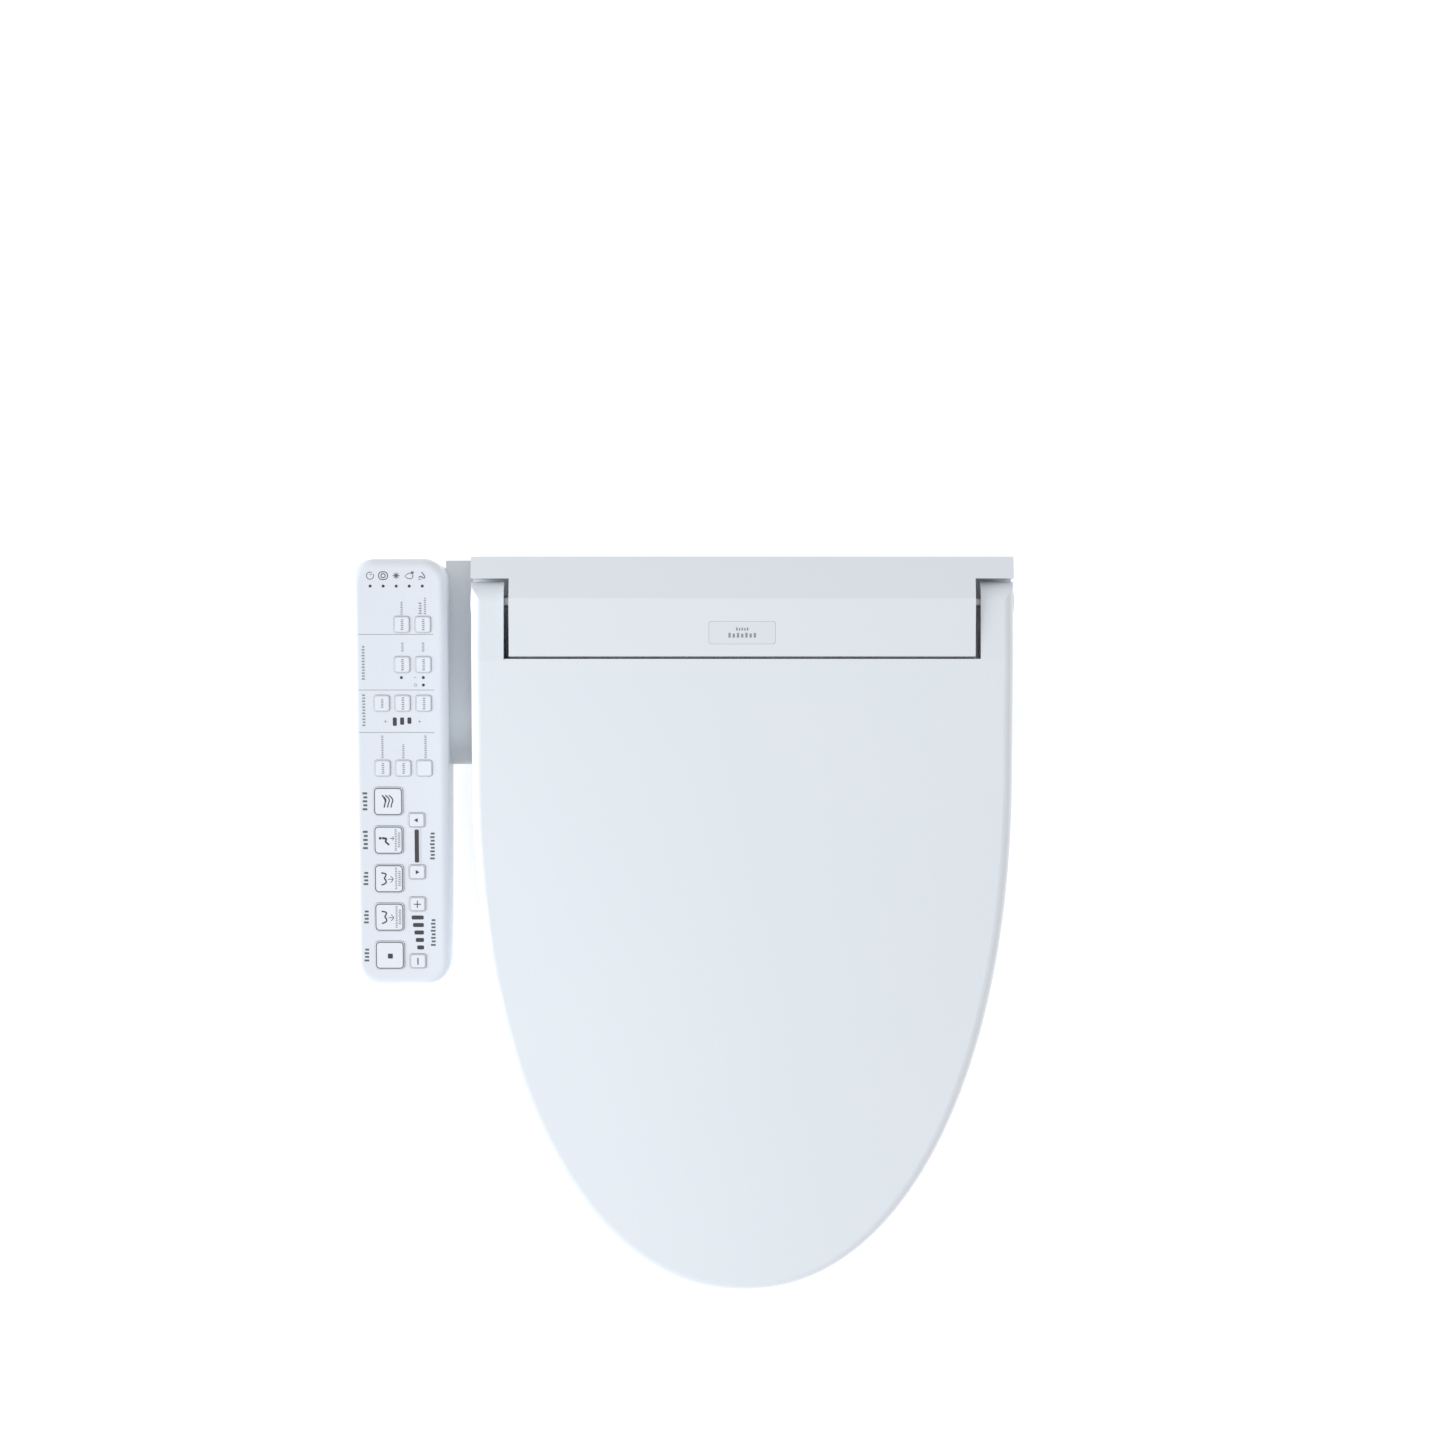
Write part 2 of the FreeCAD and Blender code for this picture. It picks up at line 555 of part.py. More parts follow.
def case_screws():
    """Four screws with a cross recess, up through the bottom case into the cover's bosses."""
    screws = []
    for x, y in SCREWS:
        head = upright(SCREW_HEAD_R, x, y, FLOOR_Z + 0.1, FLOOR_Z + 0.1 + SCREW_HEAD_T)
        cross = [box((x - a, x + a), (y - b, y + b), (FLOOR_Z, FLOOR_Z + 0.9))
                 for a, b in ((2.4, 0.4), (0.4, 2.4))]
        shank = upright(SCREW_R, x, y, FLOOR_Z + SCREW_HEAD_T - 0.2, FLOOR_Z + SCREW_LENGTH)
        screws.append(fuse([cut(head, cross), shank]))
    return Part.makeCompound(screws)


def mounting_plate():
    """Plate that is bolted to the toilet through two slots, with a flange down each side."""
    core_x = PLATE_HALF_X - PLATE_LIP
    plate = fuse([
        box((-core_x, core_x), (PLATE_FRONT_Y, PLATE_REAR_Y), (0, PLATE_T)),
        box((-PLATE_HALF_X, PLATE_HALF_X), (PLATE_FRONT_Y, PLATE_REAR_Y), (PLATE_LIP_Z, PLATE_T)),
    ])
    top = PLATE_T + MEET
    cuts = [rounded_block(0, 5, 70, 46, 6, PLATE_WEB_Z, top)]
    for x in (-SLOT_PITCH / 2, SLOT_PITCH / 2):
        cuts.append(rounded_block(x, 0, SLOT_LENGTH, 2 * SLOT_R, SLOT_R - 0.001, -MEET, top))
        cuts.append(rounded_block(x, 0, SLOT_LENGTH + 2 * WASHER_MARGIN, 2 * (SLOT_R + WASHER_MARGIN - 1), 6,
                                  PLATE_LIP_Z - 0.2, top))
    return cut(plate, cuts)


# ---- hinge --------------------------------------------------------------------------------------

PIN_INNER_X = CENTRE_HALF - WALL - 4
PIN_END_GAP = 1.0


def hinge_pins():
    """One pin a side, from inside the cover out through the seat arm into the lid's cheek."""
    return Part.makeCompound(both_sides(crosswise(PIN_R, HINGE_Y, HINGE_Z, PIN_INNER_X,
                                                  BODY_HALF - PIN_END_GAP - 4)))


def damper(side):
    """Rotary damper on the hinge axis, inside the cover."""
    body = crosswise(SEAT_BOSS_R + 0.5, HINGE_Y, HINGE_Z, side * PIN_INNER_X, side * (PIN_INNER_X - 42))
    foot = box(sorted((side * (PIN_INNER_X - 40), side * (PIN_INNER_X - 4))), (HINGE_Y - 13, HINGE_Y + 13),
               (HINGE_Z - 13, HINGE_Z - 7))
    return fuse([body, foot])


# ---- seat ---------------------------------------------------------------------------------------

BRIDGE_X = NOSE_HALF + BRIDGE_GAP[0]
BRIDGE_Y = (NOSE_FRONT_Y - BRIDGE_GAP[1], SEAT_REAR_Y + MEET)
BRIDGE_Z = NOSE_TOP_Z + BRIDGE_GAP[2]
SEAT_ARM_X = CENTRE_HALF + CHEEK_GAP + SEAT_ARM_GAP


def seat_top_at(y):
    """Height of the seat's sloped top."""
    share = (SEAT_REAR_Y - y) / (SEAT_REAR_Y - LID_TIP_Y)
    return SEAT_TOP_REAR_Z + (SEAT_TOP_FRONT_Z - SEAT_TOP_REAR_Z) * share


def seat_wedge(drop, offset, rear_y, bottom):
    """Ring-shaped seat body without its hole: sloped top lowered by drop, plan grown by offset."""
    front = LID_TIP_Y - 20
    side = [(rear_y, bottom), (rear_y, seat_top_at(rear_y) - drop), (front, seat_top_at(front) - drop),
            (front, bottom)]
    wide = BODY_HALF + 50
    return seat_outline(offset, rear_y, bottom, HOUSING_TOP).common(profile(side, -wide, wide))


def bridge_block(grow, rear_y):
    """The room that the seat leaves over the housing's nose, grown by grow."""
    return box((-BRIDGE_X - grow, BRIDGE_X + grow), (BRIDGE_Y[0] - grow, rear_y), (0, BRIDGE_Z + grow))


def seat_arm():
    """Arm from the ring up to the hinge boss, between the cover and the lid's outer wall."""
    reach = SEAT_BOSS_R
    front = SEAT_REAR_Y - 14
    points = [(HINGE_Y - 0.6 * reach, HINGE_Z + 0.8 * reach), (HINGE_Y + 0.6 * reach, HINGE_Z - 0.8 * reach),
              (SEAT_REAR_Y - 2, SEAT_BOTTOM_Z + 22), (front, SEAT_BOTTOM_Z + 20),
              (front, seat_top_at(front) - 1), (SEAT_REAR_Y, seat_top_at(SEAT_REAR_Y) - 1)]
    x1 = SEAT_ARM_X + SEAT_ARM_T
    return fuse([profile(points, SEAT_ARM_X, x1), crosswise(reach, HINGE_Y, HINGE_Z, SEAT_ARM_X, x1)])


def seat_top():
    """Upper shell of the seat ring with its two hinge arms."""
    ring = seat_wedge(0, SEAT_OVERHANG, SEAT_REAR_Y, SEAT_BOTTOM_Z).cut(hole_block(0, 0, HOUSING_TOP))
    ring = round_top(ring, SEAT_EDGE_R)
    hollow = seat_wedge(SEAT_WALL, SEAT_OVERHANG - SEAT_WALL, SEAT_REAR_Y - SEAT_WALL, SEAT_BOTTOM_Z - MEET)
    hollow = cut(hollow, [hole_block(SEAT_WALL, 0, HOUSING_TOP), bridge_block(SEAT_WALL, BRIDGE_Y[1])])
    shell = fuse([cut(ring, [hollow, bridge_block(0, BRIDGE_Y[1])])] + both_sides(seat_arm()))
    return cut(shell, both_sides(crosswise(PIN_R + RUNNING_GAP, HINGE_Y, HINGE_Z, CENTRE_HALF, BODY_HALF)))


def seat_base():
    """Flat ring that closes the seat from below, clipped in between its walls."""
    gap = CLIP_GAP
    plate = seat_outline(SEAT_OVERHANG - SEAT_WALL - gap, SEAT_REAR_Y - SEAT_WALL - gap, SEAT_BOTTOM_Z,
                         SEAT_BOTTOM_Z + SEAT_WALL)
    arms = both_sides(box((SEAT_ARM_X - 4, SEAT_ARM_X + SEAT_ARM_T + 4), (SEAT_REAR_Y - 16, 0), (20, 100)))
    return cut(plate, [hole_block(SEAT_WALL + gap, 0, 100), bridge_block(SEAT_WALL + gap, 0)] + arms)


def seat_heater():
    """Heating foil just under the seat's top skin, following its slope."""
    drop = SEAT_WALL + FIT_GAP
    foil = seat_wedge(drop, SEAT_OVERHANG - SEAT_WALL - FOIL_MARGIN, SEAT_REAR_Y - 22, SEAT_BOTTOM_Z)
    below = seat_wedge(drop + FOIL_T, 20, SEAT_REAR_Y + 30, 0)
    room = box((-BRIDGE_X - 8, BRIDGE_X + 8), (BRIDGE_Y[0] - 8, 0), (0, 100))
    return cut(foil, [below, hole_block(SEAT_WALL + 10, 0, 100), room])


def outline_places(places):
    """Mirrored (X, Y) places given as (back from the tip, in from the outline)."""
    spots = [(half_width(LID_TIP_Y + back) - inwards, LID_TIP_Y + back) for back, inwards in places]
    return [(side * x, y) for x, y in spots for side in (-1, 1)]


def seat_buffers():
    """Four rubber pads under the seat that rest on the toilet's rim."""
    width, length, radius = SEAT_BUFFER
    return Part.makeCompound([rounded_block(x, y, width, length, radius, 0, SEAT_BOTTOM_Z)
                              for x, y in outline_places(SEAT_BUFFERS)])


# ---- lid ----------------------------------------------------------------------------------------

LID_CORNER = (HINGE_Y - 5, HINGE_Z - LID_CORNER_DROP)
LID_SIDE_LOW = (LID_REAR_Y, LID_REAR_Z - LID_SIDE_DROP)
LID_SEAT_LOW = (SEAT_REAR_Y + 2, SEAT_TOP_REAR_Z + LID_SEAT_GAP)


def crown_section(y, top, sag):
    """Upright section of the lid's top at Y = y: an arc above, straight below."""
    half = BODY_HALF + 16.5
    left = V(-half, y, top - sag)
    right = V(half, y, top - sag)
    arc = Part.Arc(left, V(0, y, top), right).toShape()
    low = [right, V(half, y, 0), V(-half, y, 0), left]
    return Part.Wire([arc] + [Part.makeLine(a, b) for a, b in zip(low, low[1:])])


def lid_form(drop, offset, rear_y):
    """Lid without its cheeks: crowned top lowered by drop, plan grown by offset, back to rear_y."""
    front_y = LID_TIP_Y - 8
    slope = (LID_REAR_Z - LID_FRONT_Z) / (LID_REAR_Y - LID_TIP_Y)
    sections = []
    for y, bulge, sag in ((rear_y, 0.0, LID_CROWN_REAR),
                          ((rear_y + front_y) / 2, LID_BULGE, (LID_CROWN_REAR + LID_CROWN_FRONT) / 2),
                          (front_y, 0.0, LID_CROWN_FRONT)):
        sections.append(crown_section(y, LID_REAR_Z + slope * (y - LID_REAR_Y) + bulge - drop, sag))
    return Part.makeLoft(sections, True, False).common(seat_outline(offset, rear_y, 0, HOUSING_TOP + 50))


def lid_cheek():
    """Side cheek of the lid, from its rear edge back to the hinge boss, with a rounded outer corner."""
    x0 = CENTRE_HALF + CHEEK_GAP
    tangent = (HINGE_Y + 8, HINGE_Z - math.sqrt(LID_BOSS_R ** 2 - 64))
    points = [(HINGE_Y, LID_REAR_Z), (LID_REAR_Y - MEET, LID_REAR_Z), (LID_REAR_Y - MEET, LID_SIDE_LOW[1]),
              LID_CORNER, tangent]
    cheek = fuse([profile(points, x0, BODY_HALF), crosswise(LID_BOSS_R, HINGE_Y, HINGE_Z, x0, BODY_HALF)])
    sleeve = box((x0, BODY_HALF), (-100, REAR_Y), (0, LID_REAR_Z))
    corner = [e for e in sleeve.Edges if all(abs(v.X - BODY_HALF) < 0.01 and v.Z > 1 for v in e.Vertexes)]
    return cheek.common(sleeve.makeFillet(LID_EDGE_R, corner))


def cheek_hollows():
    """Everything cut out of a lid cheek: its inside, the room for the seat arm and the pin's bore."""
    inner_x = CENTRE_HALF + CHEEK_GAP - MEET
    boss_x = SEAT_ARM_X + SEAT_ARM_T + 1.0
    skin_z = LID_REAR_Z - LID_WALL
    rear_y = HINGE_Y - LID_BOSS_R - 2.5
    inside = [(rear_y, 0), (rear_y, skin_z), (LID_REAR_Y - LID_WALL, skin_z), (LID_REAR_Y - LID_WALL, 0)]
    return [
        profile(inside, inner_x, BODY_HALF - LID_WALL),
        crosswise(SEAT_BOSS_R + 1.8, HINGE_Y, HINGE_Z, inner_x, boss_x),
        box((inner_x, boss_x), (HINGE_Y - 18, HINGE_Y + 20), (0, HINGE_Z + 3)),
        box((inner_x, boss_x), (HINGE_Y - 18, HINGE_Y), (0, skin_z)),
        crosswise(PIN_R + RUNNING_GAP, HINGE_Y, HINGE_Z, inner_x, BODY_HALF - PIN_END_GAP - 3),
    ]


def lid():
    """Lid shell: crowned top, rounded edge, two cheeks and the posts that carry its buffers."""
    form = round_top(lid_form(0, 0, LID_REAR_Y), LID_EDGE_R, LID_REAR_Y)
    front = LID_TIP_Y - 20
    wide = BODY_HALF + 50
    below = [(LID_REAR_Y + MEET, 0), (LID_REAR_Y + MEET, LID_SIDE_LOW[1]), LID_SIDE_LOW, LID_SEAT_LOW,
             (front, seat_top_at(front) + LID_SEAT_GAP), (front, 0)]
    form = form.cut(profile(below, -wide, wide))
    hollow = lid_form(LID_WALL, -LID_WALL, LID_REAR_Y + 0.5)
    cuts = [side for shape in cheek_hollows() for side in both_sides(shape)]
    shell = cut(fuse([form.cut(hollow)] + both_sides(lid_cheek())), cuts)
    posts = []
    for x, y in outline_places(LID_BUFFERS):
        post = upright(LID_BUFFER_R + 1, x, y, seat_top_at(y) + LID_BUFFER_GAP + LID_BUFFER_T, HOUSING_TOP)
        posts.append(post.common(form))
    return fuse([shell] + posts)


def lid_buffers():
    """Four soft feet under the lid that meet the seat."""
    feet = []
    for x, y in outline_places(LID_BUFFERS):
        low = seat_top_at(y) + LID_BUFFER_GAP
        feet.append(upright(LID_BUFFER_R, x, y, low, low + LID_BUFFER_T))
    return Part.makeCompound(feet)


# ---- control arm --------------------------------------------------------------------------------

PANEL_SLOPE = (PANEL_REAR_Z - PANEL_FRONT_Z) / (REAR_Y - PANEL_FRONT_Y)
PANEL_TILT = math.degrees(math.atan(PANEL_SLOPE))
PANEL_MID_X = (PANEL_LEFT + PANEL_RIGHT) / 2
PANEL_MID_Y = (REAR_Y + PANEL_FRONT_Y) / 2
PANEL_LENGTH = REAR_Y - PANEL_FRONT_Y
PANEL_DEEP = 200.0           # well below the arm's top face


def panel_z(y):
    """Height of the arm's sloped top face."""
    return PANEL_REAR_Z - PANEL_SLOPE * (REAR_Y - y)


def on_panel(shape, column, y):
    """Put a shape that is built on the flat, round the origin, onto the arm's sloped face."""
    placed = shape.copy()
    placed.rotate(V(0, 0, 0), V(1, 0, 0), PANEL_TILT)
    placed.translate(V(PANEL_LEFT + column, y, panel_z(y)))
    return placed


def panel_prism(shrink, z0):
    """Upright block with the arm's plan shape, from z0 up past its top."""
    return rounded_block(PANEL_MID_X, PANEL_MID_Y, PANEL_WIDTH - 2 * shrink, PANEL_LENGTH - 2 * shrink,
                         PANEL_CORNER_R - shrink, z0, PANEL_REAR_Z + 100)


def panel_slab(shrink, top_drop, bottom_drop):
    """Slice of the arm between two planes parallel to its top face, top_drop and bottom_drop below it."""
    rear = REAR_Y + 20
    front = PANEL_FRONT_Y - 20
    side = [(rear, panel_z(rear) - top_drop), (front, panel_z(front) - top_drop),
            (front, panel_z(front) - bottom_drop), (rear, panel_z(rear) - bottom_drop)]
    return panel_prism(shrink, 0).common(profile(side, PANEL_LEFT - 10, PANEL_RIGHT + 10))


def key_block(size, grow, z0, z1):
    """Key-shaped block on the flat, grown all round."""
    width, depth, radius = size
    return rounded_block(0, 0, width + 2 * grow, depth + 2 * grow, radius + grow, z0, z1)


def lamp_shapes(z0, z1):
    """Every small lamp window, built through the arm's skin between two heights."""
    shapes = [on_panel(upright(LAMP_R, 0, 0, z0, z1), column, y) for column, y in ROUND_LAMPS]
    for column, y, width, depth in LEVEL_BARS + POSITION_BAR + PRESSURE_BARS:
        shapes.append(on_panel(rounded_block(0, 0, width, depth, LAMP_BAR_R, z0, z1), column, y))
    return shapes


def arm_cover():
    """Upper shell of the control arm, with a hole for every key and lamp."""
    skin = round_top(panel_slab(0, 0, PANEL_SKIN), PANEL_EDGE_R)
    skin = skin.cut(panel_slab(PANEL_WALL, PANEL_WALL, PANEL_SKIN + 20))
    holes = [on_panel(key_block(size, KEY_GAP, -20, 5), column, y) for column, y, size in KEYS.values()]
    return cut(skin, holes + lamp_shapes(-20, 5))


def bracket_form(shrink, x0, x1):
    """Bracket between arm and housing: flat on top at the rear, curving down to the front."""
    flat_end = V(x0, BRACKET_FRONT_Y + BRACKET_FLAT, BRACKET_TOP_Z - shrink)
    rear = REAR_Y - shrink
    low = BRACKET_BOTTOM_Z + shrink
    nose = BRACKET_FRONT_Y + shrink
    bend = V(x0, nose + BRACKET_BEND[0], flat_end.z - BRACKET_BEND[1])
    foot = V(x0, nose, low + BRACKET_FOOT)
    line = [foot, V(x0, nose, low), V(x0, rear, low), V(x0, rear, flat_end.z), flat_end]
    edges = [Part.Arc(flat_end, bend, foot).toShape()] + [Part.makeLine(a, b) for a, b in zip(line, line[1:])]
    return Part.Face(Part.Wire(edges)).extrude(V(x1 - x0, 0, 0))


def arm_case():
    """Lower shell of the control arm, with the bracket that joins it to the housing."""
    lower = panel_prism(0, PANEL_BOTTOM_Z).cut(panel_slab(-10, -PANEL_DEEP, PANEL_SKIN))
    hollow = panel_prism(PANEL_WALL, PANEL_BOTTOM_Z + PANEL_WALL)
    bracket = bracket_form(0, PANEL_RIGHT - PANEL_WALL - 0.5, -BODY_HALF)
    beside_seat = box((-BODY_HALF - SEAT_OVERHANG - 1.8, -BODY_HALF + MEET),
                      (BRACKET_FRONT_Y - MEET, SHELF_FRONT[0] - MEET), (0, HOUSING_TOP))
    tunnel = bracket_form(PANEL_WALL, PANEL_RIGHT - PANEL_WALL - 1.5, -BODY_HALF + MEET)
    return cut(fuse([lower, bracket.cut(beside_seat)]), [hollow, tunnel])


def panel_board():
    """Circuit board under the keys, with a small switch below each."""
    board = panel_slab(PANEL_WALL + 1, BOARD_DEPTH, BOARD_DEPTH + BOARD_T)
    switch = upright(SWITCH_R, 0, 0, -BOARD_DEPTH - CLIP_GAP, -BOARD_DEPTH + SWITCH_HEIGHT)
    switches = [on_panel(switch, column, y) for column, y, _ in KEYS.values()]
    return fuse([board] + switches)


def key(column, y, size):
    """Key cap with a retaining flange under the arm's skin."""
    flange_z = -PANEL_WALL - CLIP_GAP
    cap = key_block(size, 0, flange_z - MEET, KEY_RISE)
    cap = cap.makeFillet(0.5, [e for e in cap.Edges if all(v.Z > KEY_RISE - 0.01 for v in e.Vertexes)])
    flange = key_block(size, KEY_FLANGE, flange_z - KEY_FLANGE_T, flange_z)
    return on_panel(fuse([cap, flange]), column, y)


# ---- water --------------------------------------------------------------------------------------


def water_tank():
    """Open cup that holds the water to be warmed."""
    room = box((TANK_X[0] + TANK_WALL, TANK_X[1] - TANK_WALL), (TANK_Y[0] + TANK_WALL, TANK_Y[1] - TANK_WALL),
               (TANK_Z[0] + TANK_WALL, TANK_Z[1] + MEET))
    return box(TANK_X, TANK_Y, TANK_Z).cut(room)


def tank_cap():
    """Cap of the tank with its two hose ports."""
    radius, height = TANK_PORT
    top = TANK_Z[1] + TANK_CAP_T
    ports = [upright(radius, x, 0, top - MEET, top + height)
             for x in (TANK_X[0] + TANK_PORT_INSET, TANK_X[1] - TANK_PORT_INSET)]
    return fuse([box(TANK_X, TANK_Y, (TANK_Z[1], top))] + ports)


def tank_heater():
    """Heating element: three bars joined across, hanging from the cap."""
    y = (TANK_Y[0] + TANK_Y[1]) / 2
    x = (TANK_X[0] + TANK_X[1]) / 2
    low = TANK_Z[0] + ELEMENT_RISE
    legs = [upright(ELEMENT_R, x + dx, y, low, TANK_Z[1]) for dx in (-ELEMENT_PITCH, 0, ELEMENT_PITCH)]
    return fuse(legs + [crosswise(ELEMENT_R, y, low, x - ELEMENT_PITCH, x + ELEMENT_PITCH)])


def inlet_valve():
    """Shut-off valve over the inlet, with its coil and its outlet."""
    body = box((SPIGOT_X - VALVE_HALF, SPIGOT_X + VALVE_HALF), (SPIGOT_Y - VALVE_HALF, SPIGOT_Y + VALVE_HALF),
               (SPIGOT_ROOF_Z + WALL, VALVE_TOP_Z))
    coil = upright(COIL_R, SPIGOT_X, SPIGOT_Y, VALVE_TOP_Z - MEET, COIL_TOP_Z)
    outlet = crosswise(HOSE_R, SPIGOT_Y - VALVE_HALF / 2, VALVE_OUTLET_Z, SPIGOT_X + VALVE_HALF - MEET,
                       SPIGOT_X + 2 * VALVE_HALF)
    return fuse([body, coil, outlet])


def water_inlet():
    """Inlet spigot, pointing down out of its pocket under the housing."""
    spigot = upright(SPIGOT_R, SPIGOT_X, SPIGOT_Y, SPIGOT_END_Z, SPIGOT_ROOF_Z)
    neck = upright(SPIGOT_NECK_R, SPIGOT_X, SPIGOT_Y, SPIGOT_ROOF_Z - MEET, SPIGOT_ROOF_Z + WALL)
    bore = upright(SPIGOT_BORE_R, SPIGOT_X, SPIGOT_Y, 0, SPIGOT_ROOF_Z + WALL + MEET)
    return fuse([spigot, neck]).cut(bore)


def flow_valve():
    """Valve that shares the water between the nozzles, with its motor."""
    x, y, z = FLOW_VALVE
    radius, height = FLOW_MOTOR
    motor = upright(radius, sum(x) / 2, sum(y) / 2, z[1] - MEET, z[1] + height)
    return fuse([box(x, y, z), motor])


def nozzle_guide():
    """Sloped carrier with a bore for each nozzle."""
    half = NOZZLE_X + NOZZLE_R + GUIDE_MARGIN
    thick = NOZZLE_R + GUIDE_WALL
    block = box((-half, half), (GUIDE_START, GUIDE_START + GUIDE_LENGTH), (-thick, thick))
    block.rotate(V(0, 0, 0), V(1, 0, 0), NOZZLE_TILT)
    block.translate(V(0, *NOZZLE_TIP))
    bores = [nozzle_rod(x, NOZZLE_R + FIT_GAP, NOZZLE_LENGTH + 20, 20) for x in (-NOZZLE_X, NOZZLE_X)]
    return cut(block, bores)


def nozzle(x):
    """Wash nozzle: a tube with a rounded tip, an inner water bore and spray holes on top near the tip."""
    tube = nozzle_rod(x, NOZZLE_R, NOZZLE_LENGTH, 0)
    front = [e for e in tube.Edges if abs(e.BoundBox.Center.y - NOZZLE_TIP[0]) < 3 and len(e.Vertexes) == 1]
    tube = tube.makeFillet(NOZZLE_TIP_R, front)
    bore = nozzle_rod(x, NOZZLE_BORE_R, NOZZLE_LENGTH + MEET, -JET_BACK + 2)
    way = nozzle_direction()
    across = V(0, way.z, -way.y)
    first = V(x, *NOZZLE_TIP) - way * JET_BACK
    jets = [Part.makeCylinder(JET_R, NOZZLE_R + 4, first - way * (JET_PITCH * i), across) for i in range(3)]
    return cut(tube, [bore] + jets)


def nozzle_motors():
    """Two small stepper motors on top of the nozzle guide, one for each nozzle."""
    radius, height = NOZZLE_MOTOR
    low = NOZZLE_R + GUIDE_WALL
    back = GUIDE_START + GUIDE_LENGTH * 0.55
    motors = []
    for x in (-NOZZLE_X, NOZZLE_X):
        can = upright(radius, x, back, low, low + height)
        can.rotate(V(0, 0, 0), V(1, 0, 0), NOZZLE_TILT)
        can.translate(V(0, *NOZZLE_TIP))
        motors.append(can)
    return Part.makeCompound(motors)


# ---- air ----------------------------------------------------------------------------------------

DUCT_X = (DRYER_X[0], NOSE_HALF - WALL - 0.5)
DUCT_LOW_Z = DRYER_AXIS[1] - DRYER_HALF
DUCT_Z = (DUCT_LOW_Z, DUCT_LOW_Z + DUCT_HEIGHT)


def dryer_housing():
    """Blower casing with its scroll, intake and the duct that leads to the nose."""
    y, z = DRYER_AXIS
    x0, x1 = DRYER_X
    body = fuse([
        box((x0, x1), (y - DRYER_HALF, y + DRYER_HALF), (z - DRYER_HALF, z + DRYER_HALF)),
        box(DUCT_X, (NOSE_FRONT_Y + WALL + CLIP_GAP, y), DUCT_Z),
    ])
    side = DRYER_WALL + CLIP_GAP
    return cut(body, [
        crosswise(DRYER_FAN_R + 2.5, y, z, x0 + side, x1 - side),
        box((DUCT_X[0] + DRYER_WALL, DUCT_X[1] - DRYER_WALL), (NOSE_FRONT_Y, y - 5),
            (DUCT_Z[0] + DRYER_WALL, DUCT_Z[1] - DRYER_WALL)),
        crosswise(DRYER_SHAFT_R + MEET, y, z, x1 - 3, x1 + MEET),
        crosswise(INTAKE_R, y, z, x0 - MEET, x0 + 3),
    ])


def dryer_heater():
    """Heater frame of thin fins across the duct."""
    z = ((DUCT_Z[0] + DUCT_Z[1]) / 2 - 6, (DUCT_Z[0] + DUCT_Z[1]) / 2 + 6)
    x = (DUCT_X[0] + DRYER_WALL + 0.6, DUCT_X[1] - DRYER_WALL - 0.6)
    front = NOSE_FRONT_Y + 44
    starts = [front + FIN_PITCH * i for i in range(5)]
    fins = [box(x, (start, start + FIN_T), z) for start in starts]
    rails = [box((low, low + 1.5), (front, starts[-1] + FIN_T), z) for low in (x[0], x[1] - 1.5)]
    return fuse(fins + rails)


def impeller(radius, length, blades, hub):
    """Fan rotor standing on the origin, its axis along Z: hub, back disc and straight blades."""
    parts = [upright(hub, 0, 0, 0, length), upright(radius, 0, 0, 0, 1.2)]
    for i in range(blades):
        blade = box((hub - 1, radius - 0.3), (-0.6, 0.6), (0.6, length))
        blade.rotate(V(0, 0, 0), V(0, 0, 1), 360 * i / blades)
        parts.append(blade)
    return fuse(parts)


def dryer_impeller():
    """Blower rotor on its shaft stub, which runs in the motor's bore."""
    y, z = DRYER_AXIS
    length = DRYER_X[1] - DRYER_X[0] - 10
    rotor = fuse([impeller(DRYER_FAN_R, length, 14, 6), upright(DRYER_SHAFT_R, 0, 0, -6, MEET)])
    rotor.rotate(V(0, 0, 0), V(0, 1, 0), -90)
    rotor.translate(V(DRYER_X[1] - DRYER_WALL - 2.2, y, z))
    return rotor


def dryer_motor():
    """Motor of the blower, with the bore that its rotor's stub runs in."""
    y, z = DRYER_AXIS
    radius, length = DRYER_MOTOR
    can = crosswise(radius, y, z, DRYER_X[1], DRYER_X[1] + length)
    return can.cut(crosswise(DRYER_SHAFT_R + RUNNING_GAP, y, z, DRYER_X[1] - MEET, DRYER_X[1] + 5))


def dryer_flap():
    """Flap hanging over the warm-air outlet, with a round hinge bead along its top edge."""
    y = NOSE_FRONT_Y - FLAP_STANDOFF
    x = (DRYER_X[0] + 1, NOSE_HALF - WALL - 1)
    leaf = box(x, (y - FLAP_T / 2, y + FLAP_T / 2), (FLAP_TOP_Z - FLAP_HEIGHT, FLAP_TOP_Z))
    return fuse([leaf, crosswise(FLAP_T, y, FLAP_TOP_Z, *x)])


FAN_LOW_Z = FLOOR_Z + WALL + 0.4


def fan_housing():
    """Deodoriser fan case: a round room, a window towards the filter and the rotor's post."""
    x, y = FAN_CENTRE
    half_x, half_y = FAN_CASE_HALF
    body = box((x - half_x, x + half_x), (y - half_y, y + half_y), (FAN_LOW_Z, FAN_LOW_Z + FAN_CASE_HEIGHT))
    room = upright(FAN_R + 2, x, y, FAN_LOW_Z + 2, FAN_LOW_Z + 30)
    window = box((x + 10, x + half_x + MEET), (y - 12, y + 12), (FAN_LOW_Z + 4, FAN_LOW_Z + 14))
    return fuse([cut(body, [room, window]), upright(FAN_POST_R, x, y, FAN_LOW_Z + MEET, FAN_LOW_Z + 10)])


def deodoriser_impeller():
    """Rotor of the deodoriser fan, on the post of its case."""
    x, y = FAN_CENTRE
    rotor = impeller(FAN_R, 16, 12, 5).cut(upright(FAN_POST_R + RUNNING_GAP, 0, 0, -MEET, 12))
    rotor.translate(V(x, y, FAN_LOW_Z + 2.8))
    return rotor


